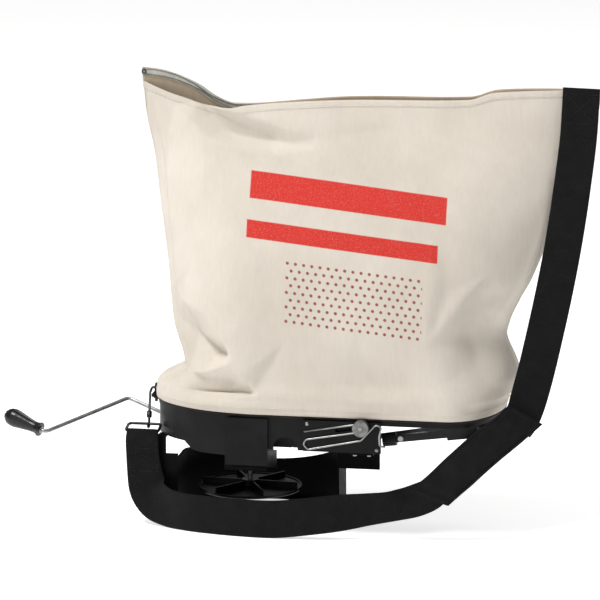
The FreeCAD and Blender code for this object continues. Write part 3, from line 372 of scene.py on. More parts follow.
# ---------------------------------------------------------------- building pieces
def mesh_piece(name, points, faces, material, body, uv=None, replaced=()):
    """A smooth mesh piece in the frame, from points in metres. uv holds one pair to each point."""
    mesh = bpy.data.meshes.new(name)
    mesh.from_pydata([tuple(p) for p in points], [], faces)
    mesh.validate()
    mesh.polygons.foreach_set("use_smooth", [True] * len(mesh.polygons))
    layer = mesh.uv_layers.new(name="UVMap")
    if uv is not None:
        corners = np.zeros(len(mesh.loops), int)
        mesh.loops.foreach_get("vertex_index", corners)
        layer.data.foreach_set("uv", np.asarray(uv, float)[corners].ravel())
    mesh.materials.append(MATERIALS[material])
    piece = bpy.data.objects.new(name, mesh)
    bpy.context.scene.collection.objects.link(piece)
    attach(piece, body)
    if replaced:
        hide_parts(*replaced)
    return piece


def grid_faces(rows, columns, closed=False, offset=0):
    """Quads of a grid of rows by columns, joined round when closed."""
    faces = []
    last = columns if closed else columns - 1
    for row in range(rows - 1):
        for column in range(last):
            here = offset + row * columns + column
            right = offset + row * columns + (column + 1) % columns
            faces.append((here, right, right + columns, here + columns))
    return faces


def cubic(xs, ys, slopes, at):
    """Cubic pieces through the points (xs, ys) with these slopes, at the places at."""
    index = np.clip(np.searchsorted(xs, at, side="right") - 1, 0, len(xs) - 2)
    gap = xs[index + 1] - xs[index]
    t = (at - xs[index]) / gap
    return ((2 * t**3 - 3 * t**2 + 1) * ys[index] + (t**3 - 2 * t**2 + t) * gap * slopes[index]
            + (3 * t**2 - 2 * t**3) * ys[index + 1] + (t**3 - t**2) * gap * slopes[index + 1])


def smooth_rise(xs, ys, at):
    """Monotone cubic through the points (xs, ys), at the places at."""
    xs = np.asarray(xs, float)
    ys = np.asarray(ys, float)
    gaps = np.diff(xs)
    rises = np.diff(ys) / gaps
    slopes = np.zeros(len(xs))
    for index in range(1, len(xs) - 1):
        before, after = rises[index - 1], rises[index]
        if before * after > 0:
            first = 2 * gaps[index] + gaps[index - 1]
            second = gaps[index] + 2 * gaps[index - 1]
            slopes[index] = (first + second) / (first / before + second / after)
    slopes[0], slopes[-1] = rises[0], rises[-1]
    return cubic(xs, ys, slopes, np.clip(at, xs[0], xs[-1]))


def smooth_through(xs, ys, at):
    """Cubic through every point, with slopes from the neighbours."""
    return cubic(xs, ys, np.gradient(ys, xs), at)


def distances(points):
    """Distance of each point along the line through them all."""
    return np.concatenate([[0], np.cumsum(np.linalg.norm(np.diff(points, axis=0), axis=1))])


def sample(at, places, field):
    """The field's point or direction at this place along it."""
    return np.array([np.interp(at, places, field[:, k]) for k in range(3)])


BEND_STEPS = 13


def rounded_route(corners, bend, closed=False):
    """Points along straight runs whose corners are rounded to the bend radius."""
    corners = [np.array(c, float) for c in corners]
    if closed:
        start = (corners[-1] + corners[0]) / 2
        corners = [start] + corners + [start]
    route = [corners[0]]
    for before, corner, after in zip(corners, corners[1:], corners[2:]):
        back, ahead = before - corner, after - corner
        room = min(np.linalg.norm(back), np.linalg.norm(ahead)) * 0.49
        back /= np.linalg.norm(back)
        ahead /= np.linalg.norm(ahead)
        half = math.acos(np.clip(back.dot(ahead), -1, 1)) / 2
        reach = min(bend / math.tan(half), room)
        radius = reach * math.tan(half)
        middle = (back + ahead) / np.linalg.norm(back + ahead)
        centre = corner + middle * radius / math.sin(half)
        first, last = corner + back * reach - centre, corner + ahead * reach - centre
        turn = math.pi - 2 * half
        for t in np.linspace(0, 1, BEND_STEPS):
            route.append(centre + (first * math.sin((1 - t) * turn) + last * math.sin(t * turn))
                         / math.sin(turn))
    if not closed:
        route.append(corners[-1])
    return np.array(route)


OBLIQUE = (0.31, 0.52, 0.79)     # no bar here runs this way, so a cross product never fails


def tube(name, route, radii, material, body, replaced=(), closed=False, sides=18):
    """Round bar of these radii along a route in millimetres, with flat ends or closed to a ring."""
    if closed:
        ahead = np.roll(route, -1, axis=0) - np.roll(route, 1, axis=0)
    else:
        ahead = np.gradient(route, axis=0)
    ahead /= np.linalg.norm(ahead, axis=1, keepdims=True)
    side = np.cross(ahead[0], OBLIQUE)
    points = []
    for spot, way, radius in zip(route, ahead, np.broadcast_to(radii, len(route))):
        side = side - way * side.dot(way)
        side /= np.linalg.norm(side)
        up = np.cross(way, side)
        for k in range(sides):
            angle = 2 * math.pi * k / sides
            points.append(spot + radius * (side * math.cos(angle) + up * math.sin(angle)))
    rows = len(route)
    faces = grid_faces(rows, sides, True)
    last = (rows - 1) * sides
    if closed:
        faces += [(last + k, last + (k + 1) % sides, (k + 1) % sides, k) for k in range(sides)]
    else:
        faces.append(tuple(range(sides - 1, -1, -1)))
        faces.append(tuple(range(last, last + sides)))
    return mesh_piece(name, place(points), faces, material, body, replaced=replaced)


# ---------------------------------------------------------------- bag
HEM_LEVEL = 157.2
LEVELS = np.array([
    # level, left, right, front, back, length of the left end, length of the right end
    (157, -120.2, 328.2, -97.2, 107.2, 147.2, 64.2),
    (175, -120.2, 335.0, -97.2, 107.2, 147.2, 70.0),
    (180, -117.0, 340.0, -97.6, 108.0, 140.0, 74.0),
    (200, -84.0, 346.0, -92.0, 100.0, 106.0, 90.0),
    (256, -98.0, 329.0, -88.0, 92.0, 120.0, 87.0),
    (330, -105.5, 364.0, -80.0, 84.0, 132.5, 120.0),
    (410, -115.5, 396.0, -60.0, 62.0, 143.5, 140.0),
    (470, -122.5, 420.0, -36.0, 37.0, 154.5, 150.0),
    (522, -133.0, 441.0, -17.0, 17.5, 103.0, 160.0),
    (582, -138.5, 451.0, -9.0, 9.0, 60.5, 170.0),
])
FRONT_TOP = [(-138, 563), (-94, 548), (-26, 533), (-1, 538), (128, 549), (282, 554), (315, 564),
             (452, 571)]
BACK_TOP = [(-138, 580), (-116, 577), (-75, 561), (-52, 545), (-20, 535), (128, 549), (282, 554),
            (315, 564), (452, 571)]
FRONT_FOLDS = [
    # ridges and valleys of the cloth, as (x, level, height above the smooth surface)
    [(-60, 541, -2), (-39, 524, -6), (-17, 509, -9), (22, 501, -9), (60, 494, -4), (88, 488, 0)],
    [(-26, 532, 3), (10, 521, 3), (50, 509, 2), (92, 500, 0)],
    [(-96, 538, 0), (-75, 520, 4), (-50, 495, 5), (-10, 483, 2), (40, 478, 0)],
    [(-90, 302, -1), (-77, 292, 2), (-44, 279, 3), (-16, 248, 5), (-9, 232, 5)],
    [(-90, 262, -4), (-66, 249, -10), (-31, 229, -12), (-17, 228, -7)],
    [(-76, 187, 1), (-45, 204, 6), (-12, 221, 7), (4, 206, 5), (20, 190, 0)],
    [(-80, 184, -2), (-55, 183, -10), (-12, 184, -13), (14, 186, -9), (23, 188, -1)],
    [(-95, 174, 0), (-60, 172, 3), (-10, 171, 4), (30, 171, 2), (62, 172, 0)],
    [(250, 327, 0), (267, 320, -4), (286, 311, 0)],
    [(318, 345, 0), (307, 300, -5), (300, 262, -7), (306, 225, -4), (318, 196, 0)],
    [(338, 318, 1), (330, 288, 3), (330, 256, 4), (334, 205, 2)],
    [(204, 228, 0), (180, 200, -3), (160, 174, 0)],
]
BACK_FOLDS = [
    [(-70, 500, 0), (-20, 470, -6), (60, 430, -5), (120, 400, 0)],
    [(-60, 260, 0), (-20, 232, -8), (40, 222, -6), (90, 220, 0)],
    [(-50, 205, 1), (10, 202, 5), (60, 200, 4), (110, 198, 0)],
    [(200, 330, 0), (240, 280, -6), (262, 230, -5), (270, 195, 0)],
    [(230, 500, 0), (290, 450, -4), (330, 390, 0)],
]
CLOTH_EDGE = [(-260, 120), (600, 120), (600, 700), (-260, 700)]
CLOTH_FLATS = [
    # places as (x, level) where the cloth lies on the smooth surface
    (150, 450), (20, 400), (250, 400), (60, 330), (150, 260), (60, 250), (120, 200), (250, 200),
    (240, 250), (-60, 400), (-60, 340), (370, 420), (380, 500), (200, 520), (330, 360),
    (-110, 480), (-95, 330), (120, 165), (260, 170), (30, 290),
]
FOLD_DEPTH = 1.75
FRONT_SOFTENING = 3
BACK_SOFTENING = 9
WAVES = (
    # waves to the millimetre across and up, height, and the way the seed shifts them
    (0.012, 0.008, 1.5, 1),
    (0.045, 0.030, 0.45, -1),
)
ZIP_ROOM = 10.5             # the cloth stays this far from the bag's middle, clear of the zip
ACROSS_FRONT = 190
ACROSS_BACK = 120
BAG_ROWS = 170
GIRTH_ROW = 60              # the weave is laid out round the bag at this row
LEFT_SHARE = 0.27           # shares of the way round that the two ends take
RIGHT_SHARE = 0.22
SEAM_REACH = 0.05           # the folds fade out over this share at either side seam
CLOTH_THICK = 1.5
HEM_DEEP = 9.5
HEM_THICK = 0.9
FOOT_LEVEL = 168.0          # top of the doubled cloth above the tray
FOOT_THICK = 0.8
TOP_SEAM_GAP = 7.6
FOOT_SEAM_LEVEL = 166.0
FRONT_SEAMS = (0.075, 0.965)    # shares of the way across where the side seams are sewn
BACK_SEAMS = (0.06, 0.94)
BAG_THREAD = (4.4, 3.3, 0.42, 0.25)     # pitch, length, radius and lift of the stitches
STRAP_THREAD = (3.6, 2.6, 0.42, 0.25)


def level_values(level):
    """The bag's outline values at these heights."""
    return [smooth_rise(LEVELS[:, 0], LEVELS[:, k], level) for k in range(1, 7)]


def round_bag(share, level, side):
    """x and y on the bag at this share of the way from the left seam to the right one.

    side is -1 for the front and 1 for the back. The ends are round at the tray and pinch to a seam
    towards the top.
    """
    left, right, front, back, left_end, right_end = level_values(level)
    middle = (front + back) / 2
    depth = (back - front) / 2
    pinch = np.interp(level, (200, 330, 560), (1.0, 1.15, 1.7))
    turn_left = np.clip(share / LEFT_SHARE, 0, 1) * math.pi / 2
    turn_right = np.clip((1 - share) / RIGHT_SHARE, 0, 1) * math.pi / 2
    flat = np.clip((share - LEFT_SHARE) / (1 - LEFT_SHARE - RIGHT_SHARE), 0, 1)
    x = np.where(share < LEFT_SHARE, left + left_end * (1 - np.cos(turn_left)),
                 np.where(share > 1 - RIGHT_SHARE, right - right_end * (1 - np.cos(turn_right)),
                          (left + left_end) * (1 - flat) + (right - right_end) * flat))
    deep = np.sin(turn_left) ** pinch * np.sin(turn_right) ** pinch
    return x, middle + side * depth * deep


def top_level(share, side):
    """Height of the bag's top edge at this share."""
    line = np.array(FRONT_TOP if side < 0 else BACK_TOP, float)
    level = np.full(len(share), 555.0)
    for _ in range(12):
        x, _y = round_bag(share, level, side)
        level = smooth_rise(line[:, 0], line[:, 1], x)
    return level


def fold_height(folds, x, level):
    """Height of the cloth above the smooth surface, by flat facets between the fold lines."""
    points = [Vector(p) for p in CLOTH_EDGE + CLOTH_FLATS]
    heights = [0.0] * len(points)
    lines = []
    for fold in folds:
        lines += [(len(points) + k, len(points) + k + 1) for k in range(len(fold) - 1)]
        points += [Vector(p[:2]) for p in fold]
        heights += [float(p[2]) for p in fold]
    made, _, faces, origins, _, _ = geometry.delaunay_2d_cdt(points, lines, [], 0, 0.01)
    at = np.array([heights[o[0]] if o else 0.0 for o in origins])
    spots = np.array([tuple(p) for p in made])
    result = np.zeros(x.shape)
    for face in faces:
        (ax, az), (bx, bz), (cx, cz) = spots[list(face)]
        whole = (bx - ax) * (cz - az) - (cx - ax) * (bz - az)
        if abs(whole) < 1e-9:
            continue
        b = ((x - ax) * (cz - az) - (cx - ax) * (level - az)) / whole
        c = ((bx - ax) * (level - az) - (x - ax) * (bz - az)) / whole
        inside = (b >= -1e-6) & (c >= -1e-6) & (b + c <= 1 + 1e-6)
        value = at[face[0]] * (1 - b - c) + at[face[1]] * b + at[face[2]] * c
        result = np.where(inside, value, result)
    return result


def soften(field, times):
    """Field with its sharp changes spread out, times over."""
    for _ in range(times):
        field = np.pad(field, 1, mode="edge")
        field = (field[1:-1, 1:-1] * 2 + field[:-2, 1:-1] + field[2:, 1:-1]
                 + field[1:-1, :-2] + field[1:-1, 2:]) / 6
    return field


def outward(points, side):
    """Unit normals of a grid of points, pointing out of the bag."""
    down = np.gradient(points, axis=0)
    along = np.gradient(points, axis=1)
    normal = np.cross(along, down) * -side
    normal /= np.maximum(np.linalg.norm(normal, axis=2, keepdims=True), 1e-9)
    return normal


def crumple(points, seed):
    """Small uneven waves of handled cloth, in millimetres."""
    result = np.zeros(points.shape[:2])
    for row in range(points.shape[0]):
        for column in range(points.shape[1]):
            x, y, z = points[row, column]
            for across, up, height, way in WAVES:
                spot = Vector((x * across, y * across + way * seed, z * up))
                result[row, column] += height * noise.noise(spot)
    return result


def bag_grid(side, count, folds):
    """Grid of points over the front or the back, in millimetres, with its folds and hems."""
    share = np.linspace(0, 1, count)
    top = top_level(share, side)
    t = np.linspace(0, 1, BAG_ROWS)[:, None]
    level = HEM_LEVEL + (top[None, :] - HEM_LEVEL) * t
    shares = np.broadcast_to(share[None, :], level.shape)
    x, y = round_bag(shares, level, side)
    points = np.stack([x, y, level], axis=2)
    normal = outward(points, side)
    height = soften(fold_height(folds, x, level) * FOLD_DEPTH,
                    FRONT_SOFTENING if side < 0 else BACK_SOFTENING)
    height = height + crumple(points, 3.0 * side)
    # The folds run free above the tray. Close to it only the ridges stand out, by part of their
    # height.
    free = np.clip((level - 176) / 8, 0, 1)
    free = free * np.clip((1 - np.abs(2 * shares - 1)) / SEAM_REACH, 0, 1)
    low = np.clip((level - 158) / 8, 0, 1) * np.clip((184 - level) / 8, 0, 1)
    bulge = np.where(height > 0, low * height * 0.6, 0)
    height = height * free + bulge * (1 - free)
    height = np.maximum(height, -np.maximum(np.abs(y) - ZIP_ROOM, 0))
    below_top = top[None, :] - level
    hem = np.clip((HEM_DEEP - below_top) / 1.5, 0, 1) * HEM_THICK
    foot = np.clip((FOOT_LEVEL - level) / 1.2, 0, 1) * FOOT_THICK
    points = points + normal * (height + hem + foot)[:, :, None]
    return points


def build_bag():
    """The bag as one sewn shell: its front and back halves, open at the top and at the tray."""
    front = bag_grid(-1, ACROSS_FRONT, FRONT_FOLDS)
    back = bag_grid(1, ACROSS_BACK, BACK_FOLDS)
    loop = np.concatenate([front, back[:, ::-1][:, 1:-1]], axis=1)
    rows, columns = loop.shape[:2]
    around = distances(loop[GIRTH_ROW])
    uv = np.stack([np.broadcast_to(around[None, :], (rows, columns)), loop[:, :, 2]], axis=2)
    bag = mesh_piece("bag_cloth", place(loop.reshape(-1, 3)), grid_faces(rows, columns, True),
                     "canvas", "frame", uv.reshape(-1, 2) * MM,
                     ("bag_front_panel", "bag_back_panel"))
    # Painted shade: the inner faces get the darker, browner canvas, which stands in for the shade
    # inside the bag.
    bag.data.materials.append(MATERIALS["canvas_inside_painted_shade"])
    skin = bag.modifiers.new("cloth", "SOLIDIFY")
    skin.thickness = CLOTH_THICK * MM
    skin.offset = -1
    skin.material_offset = 1
    skin.material_offset_rim = 0
    return bag, front, back


STITCH_SIDES = 6
STITCH_DIP = 1.6
STITCH_RINGS = (
    # place along the stitch and share of its radius
    (-0.5, 0.25), (-0.36, 0.9), (0.0, 1.0), (0.36, 0.9), (0.5, 0.25),
)


def stitch_run(points, normals, pitch, length, radius, lift):
    """Points and faces of a row of sewn stitches along a line of points, in millimetres."""
    along = distances(points)
    made = []
    faces = []
    for middle in np.arange(pitch, along[-1] - pitch / 2, pitch):
        spot = sample(middle, along, points)
        ahead = sample(middle + 1, along, points) - spot
        ahead /= np.linalg.norm(ahead)
        normal = sample(middle, along, normals)
        normal -= ahead * normal.dot(ahead)
        normal /= np.linalg.norm(normal)
        across = np.cross(ahead, normal)
        start = len(made)
        for place_along, width in STITCH_RINGS:
            dip = lift - (2 * place_along) ** 2 * lift * STITCH_DIP
            for k in range(STITCH_SIDES):
                angle = 2 * math.pi * k / STITCH_SIDES
                made.append(spot + ahead * place_along * length
                            + normal * (dip + radius * width * math.sin(angle))
                            + across * radius * width * math.cos(angle))
        faces += grid_faces(len(STITCH_RINGS), STITCH_SIDES, True, start)
        faces.append(tuple(range(start, start + STITCH_SIDES)))
        last = start + (len(STITCH_RINGS) - 1) * STITCH_SIDES
        faces.append(tuple(range(last + STITCH_SIDES - 1, last - 1, -1)))
    return made, faces


def stitches(name, runs, material, thread, replaced=()):
    """One piece with every stitch of these runs of points and normals."""
    points = []
    faces = []
    for run, normals in runs:
        made, quads = stitch_run(run, normals, *thread)
        faces += [tuple(v + len(points) for v in quad) for quad in quads]
        points += made
    return mesh_piece(name, place(points), faces, material, "frame", replaced=replaced)


def bag_lines(grid, side, seam_shares):
    """Lines sewn along the top hem, above the tray, and down both side seams."""
    normal = outward(grid, side)
    columns = grid.shape[1]
    runs = []
    for at_top in (True, False):
        line = []
        out = []
        for column in range(2, columns - 2):
            heights = grid[:, column, 2]
            level = heights[-1] - TOP_SEAM_GAP if at_top else FOOT_SEAM_LEVEL
            line.append(sample(level, heights, grid[:, column]))
            out.append(sample(level, heights, normal[:, column]))
        runs.append((np.array(line), np.array(out)))
    for share in seam_shares:
        column = int(share * (columns - 1))
        runs.append((grid[12:-5, column], normal[12:-5, column]))
    return runs


# ---------------------------------------------------------------- webbing and pad
UPRIGHT = (0, 0, 1)
LOWER_STRAP = [
    # centre, width direction, width
    ((-130.0, -47.0, 100.0), (1, 0, 0), 40.0),
    ((-130.0, -47.4, 114.5), (1, 0, 0), 40.0),
    ((-130.0, -50.9, 121.6), (1, 0, 0), 39.0),
    ((-130.0, -54.6, 114.8), (1, 0, 0), 41.0),
    ((-129.0, -55.0, 86.0), (1, 0, 0), 43.0),
    ((-125.5, -56.0, 62.0), (1, 0, 0.05), 47.0),
    ((-122.0, -59.0, 46.0), (0.86, 0, 0.5), 50.0),
    ((-113.0, -66.5, 34.0), (0.5, 0, 0.86), 52.0),
    ((-96.0, -77.0, 27.4), (0.15, 0, 1), 51.0),
    ((-70.0, -91.0, 25.3), UPRIGHT, 49.0),
    ((-35.0, -101.0, 24.9), UPRIGHT, 49.0),
    ((5.0, -108.0, 24.7), UPRIGHT, 49.0),
    ((50.0, -111.0, 25.2), UPRIGHT, 49.0),
    ((95.0, -110.0, 30.5), UPRIGHT, 49.0),
    ((135.0, -106.0, 36.0), (-0.05, -0.10, 1), 49.0),
    ((170.0, -101.0, 41.0), (-0.15, -0.30, 1), 47.0),
    ((203.0, -97.0, 46.0), (-0.35, -0.25, 1), 43.0),
    ((225.0, -94.0, 51.5), (-0.60, -0.05, 0.8), 44.0),
    ((242.0, -93.3, 59.0), (-0.66, 0, 0.74), 43.0),
    ((258.0, -93.0, 69.0), (-0.66, 0, 0.75), 37.0),
]
PAD = [
    # the sleeve's two ends have slipped to a slant
    ((244.6, -93.0, 56.2), (-0.953, 0, 0.302), 55.0),
    ((266.0, -93.0, 75.0), (-0.93, 0, 0.37), 51.0),
    ((292.0, -93.0, 100.5), (-0.76, 0, 0.65), 48.0),
    ((320.0, -91.0, 126.8), (-0.72, 0, 0.69), 48.0),
    ((350.0, -84.5, 151.5), (-0.86, 0, 0.51), 48.0),
    ((366.4, -78.0, 166.6), (-0.88, 0, 0.475), 49.0),
]
UPPER_STRAP = [
    ((355.0, -80.5, 153.0), (-0.74, 0, 0.67), 46.5),
    ((361.0, -75.0, 162.0), (-0.76, 0, 0.65), 47.0),
    ((366.0, -66.0, 177.0), (-0.90, 0, 0.43), 47.0),
    ((371.0, -58.0, 197.0), (-0.95, 0, 0.31), 47.0),
    ((385.0, -40.0, 264.0), (-0.97, 0, 0.24), 47.0),
    ((403.5, -25.0, 366.0), (-0.98, 0, 0.20), 47.0),
    ((416.5, -25.0, 455.0), (-1, 0, 0.09), 47.0),
    ((423.0, -22.0, 515.0), (-1, 0, 0.03), 47.0),
    ((425.0, -13.0, 574.0), (-1, 0, 0.02), 47.0),
]


def flowing(stations, step=4.0):
    """Centres, width directions, normals, widths and distances of a smooth strap.

    The width directions are as given, so that an end can be cut on the slant.
    """
    centres = np.array([s[0] for s in stations], float)
    sides = np.array([np.array(s[1], float) / np.linalg.norm(s[1]) for s in stations])
    widths = np.array([s[2] for s in stations], float)
    along = distances(centres)
    at = np.linspace(0, along[-1], int(along[-1] / step) + 2)
    values = np.concatenate([centres, sides, widths[:, None]], axis=1)
    smooth = np.stack([smooth_through(along, values[:, k], at) for k in range(7)], axis=1)
    centre, side, width = smooth[:, :3], smooth[:, 3:6], smooth[:, 6]
    ahead = np.gradient(centre, axis=0)
    ahead /= np.linalg.norm(ahead, axis=1, keepdims=True)
    side /= np.linalg.norm(side, axis=1, keepdims=True)
    normal = np.cross(ahead, side)
    normal /= np.linalg.norm(normal, axis=1, keepdims=True)
    return centre, side, normal, width, distances(centre)


def band(name, stations, half_thickness, material, replaced, across=16):
    """Flat band through the stations.

    half_thickness gets the share across, from -1 to 1, the distance along and the whole length.
    """
    centre, side, normal, width, distance = flowing(stations)
    rows = len(centre)
    spread = np.sin(np.linspace(-1, 1, across) * math.pi / 2)
    points = []
    uv = []
    for row in range(rows):
        for face in (1, -1):
            for v in spread[::face]:
                half = half_thickness(v, distance[row], distance[-1])
                points.append(centre[row] + side[row] * v * width[row] / 2
                              + normal[row] * (face * half))
                uv.append((distance[row] * MM, v * width[row] / 2 * MM))
    ring = 2 * across
    faces = grid_faces(rows, ring, True)
    for row, turn in ((0, 1), (rows - 1, -1)):
        start = row * ring
        for k in range(across - 1):
            quad = (start + k, start + k + 1, start + ring - 2 - k, start + ring - 1 - k)
            faces.append(quad[::-turn])
    return mesh_piece(name, place(points), faces, material, "frame", uv, replaced)


WEBBING_HALF = 0.95
WEBBING_EDGE = 0.02
PAD_TAB = 13.0              # length of the flat tab at either end
PAD_TAB_HALF = 1.5
PAD_CROWN = 3.9             # height of the padding above the tab
PAD_BORDER = 0.80           # share across where the border is sewn down
GROOVE_WIDTH = 0.05
GROOVE_DEPTH = 1.5
PAD_ACROSS = 44             # points across either face of the pad
END_SEAM = 4                # the pad's outermost seam, from either end
BOX_SHARE = 0.8             # share of the webbing's width that a sewn box takes
LOWER_BOX = (48, 78)        # where the sewn box starts and ends, from the ring's loop
UPPER_BOX = (44, 8)         # and from the strap's upper end


def webbing_half(v, run, whole):
    """Half-thickness of webbing: flat, with round edges."""
    return WEBBING_HALF * (1 - abs(v) ** 14) ** 0.5 + WEBBING_EDGE


def pad_half(v, run, whole):
    """Half-thickness of the pad: crowned, pressed down along its sewn border, with end tabs."""
    end = min(run, whole - run)
    past_tab = np.clip((end - PAD_TAB) / 9, 0, 1)
    crown = PAD_TAB_HALF + PAD_CROWN * (1 - abs(v) ** 3.2) ** 0.7 * past_tab ** 0.5
    groove = math.exp(-((abs(v) - PAD_BORDER) / GROOVE_WIDTH) ** 2) * GROOVE_DEPTH * past_tab
    edge = (1 - abs(v) ** 16) ** 0.5
    return max(0.3, crown - groove) * (0.35 + 0.65 * edge)


def sewn_on(stations, half_thickness, paths):
    """Runs of points and normals on a band's front.

    The paths hold pairs of distance along and share across.
    """
    centre, side, normal, width, distance = flowing(stations)
    whole = distance[-1]
    runs = []
    for path in paths:
        line = []
        out = []
        corners = np.array(path, float)
        for start, end in zip(corners, corners[1:]):
            gap = abs(end[0] - start[0]) + abs(end[1] - start[1]) * width[0] / 2
            for t in np.linspace(0, 1, max(2, int(gap / 2))):
                run, v = start * (1 - t) + end * t
                spot, across, up = (sample(run, distance, field)
                                    for field in (centre, side, normal))
                half = half_thickness(v, run, whole)
                line.append(spot + across * v * np.interp(run, distance, width) / 2 + up * half)
                out.append(up)
        runs.append((np.array(line), np.array(out)))
    return runs


def box_seam(start, end):
    """Paths of a sewn box with a cross in it."""
    share = BOX_SHARE
    return [[(start, -share), (end, -share), (end, share), (start, share), (start, -share)],
            [(start, -share), (end, share)], [(start, share), (end, -share)]]


# ---------------------------------------------------------------- zip and hem binding
ZIP_LEVEL = 522.5
COIL_REACH = (-89, 409)
COIL_STEPS = 250
TAPE_HALF = 0.35
TAPE_ACROSS = 6
TAIL_END = 20
TAIL_GAP = 5.5              # the tail runs this far below the back's top edge
TAIL_INSET = 2.3            # and this far inside the cloth, with its teeth and eyelet in front
TEETH_INSET = 2.9
EYELET_INSET = 3.6
TAIL_SLANT = (0.25, 0, 0.97)
TAIL_WIDTH = 9.5
EYELET_REACH = 2.4
EYELET_BEND = 2.3
EYELET_WIRE = 0.8
TEETH = (1.7, 1.45, 1.6, 0.0)           # pitch, length, radius and lift
TAIL_TEETH = (1.7, 1.4, 0.75, 0.0)
TAIL_TEETH_GAPS = (("upper", 1.6), ("lower", 9.4))
FRONT_TAPE = [
    ((-92.0, -5.2, 522.8), (0, -1, 0.10), 7.0),
    ((180.0, -5.4, 522.5), (0, -1, 0.05), 7.2),
    ((410.0, -5.4, 522.5), (0, -1, 0.05), 7.2),
]
BACK_TAPE = [
    ((-92.0, 5.2, 522.8), (0, -1, -0.10), 7.0),
    ((180.0, 5.4, 522.5), (0, -1, -0.05), 7.2),
    ((410.0, 5.4, 522.5), (0, -1, -0.05), 7.2),
]


def tape_half(v, run, whole):
    """Half-thickness of the zip's tape."""
    return TAPE_HALF


def inner_edge(grid, gap, inset, first, last, step):
    """Places on the inside of the back, this far below its top edge and off the cloth."""
    normal = outward(grid, 1)
    line = []
    for column in range(first, last, step):
        heights = grid[:, column, 2]
        level = heights[-1] - gap
        spot = sample(level, heights, grid[:, column])
        line.append(spot - sample(level, heights, normal[:, column]) * inset)
    return np.array(line)


def build_zip(back):
    """Tapes and teeth across the bag, and the loose tail along the inside of the back's corner."""
    for half, stations in (("front", FRONT_TAPE), ("back", BACK_TAPE)):
        band("zip_tape_" + half, stations, tape_half, "zip_tape",
             ("zipper_tape_" + half,), TAPE_ACROSS)
    coil = np.array([(x, 0.0, ZIP_LEVEL) for x in np.linspace(*COIL_REACH, COIL_STEPS)])
    stitches("zip_teeth", [(coil, np.broadcast_to(np.array(UPRIGHT, float), coil.shape))],
             "zip_coil", TEETH, ("zipper_coil",))
    corner = int((back[-1, :, 0] < TAIL_END).sum())
    tail = inner_edge(back, TAIL_GAP, TAIL_INSET, 2, corner, 3)
    band("zip_tape_tail", [(tuple(spot), TAIL_SLANT, TAIL_WIDTH) for spot in tail], tape_half,
         "zip_tape", (), TAPE_ACROSS)
    for mark, gap in TAIL_TEETH_GAPS:
        edge = inner_edge(back, gap, TEETH_INSET, 2, corner, 1)
        stitches("zip_tail_teeth_" + mark, [(edge, np.broadcast_to((0.0, -1.0, 0.0), edge.shape))],
                 "zip_coil", TAIL_TEETH)
    spot = inner_edge(back, TAIL_GAP, EYELET_INSET, 4, 5, 1)[0]
    reach = EYELET_REACH
    eyelet = [spot + (x, 0, z) for x, z in ((-reach, reach), (reach, reach), (reach, -reach),
                                            (-reach, -reach))]
    tube("zip_eyelet", rounded_route(eyelet, EYELET_BEND, True), EYELET_WIRE, "hook_steel",
         "frame", (), True, 10)


# left, right, front and back of the tray's oval, and the length of its two round ends
TRAY_OVAL = (-118.0, 326.0, -95.0, 105.0, 145.0, 62.0)
LEFT_STEPS = 130
RIGHT_STEPS = 86
BINDING_LEVEL = 155.6
BINDING_OUT = 1.5
BINDING_RADIUS = 1.45


def tray_outline(level, out):
    """Points round the tray's oval, this far outside its wall."""
    left, right, front, back, left_end, right_end = TRAY_OVAL
    middle = (front + back) / 2
    deep = (back - front) / 2 + out
    points = []
    for angle in np.linspace(math.pi / 2, 3 * math.pi / 2, LEFT_STEPS):
        points.append((left + left_end + (left_end + out) * math.cos(angle),
                       middle + deep * math.sin(angle), level))
    for angle in np.linspace(-math.pi / 2, math.pi / 2, RIGHT_STEPS):
        points.append((right - right_end + (right_end + out) * math.cos(angle),
                       middle + deep * math.sin(angle), level))
    return np.array(points)


# ---------------------------------------------------------------- bent wires and the crank's rod
CRANK_TURN = math.radians(20.0)
CRANK_RISE = math.radians(15.5)
ARM_LEAN = math.radians(20.0)
ARM_ROLL = math.radians(-19.5)
APEX = (0.0, 0.0, 84.0)     # where the crank's axis meets the impeller's
ROD_START = 7.0
ROD_LENGTH = 188.0          # from the apex to the elbow
ARM_LENGTH = 131.0
TIP_LENGTH = 62.0
ROD_BEND = 8.0
ROD_RADIUS = 2.5


def crank_corners():
    """Start, elbow, wrist and tip of the crank's bent rod."""
    along = np.array((-math.cos(CRANK_TURN) * math.cos(CRANK_RISE),
                      math.sin(CRANK_TURN) * math.cos(CRANK_RISE), math.sin(CRANK_RISE)))
    level = np.array((-math.sin(CRANK_TURN), -math.cos(CRANK_TURN), 0.0))
    up = np.cross(along, level)
    sideways = level * math.cos(ARM_ROLL) + up * math.sin(ARM_ROLL)
    arm = along * math.sin(ARM_LEAN) + sideways * math.cos(ARM_LEAN)
    apex = np.array(APEX)
    elbow = apex + along * ROD_LENGTH
    wrist = elbow + arm * ARM_LENGTH
    return [apex + along * ROD_START, elbow, wrist, wrist + along * TIP_LENGTH]


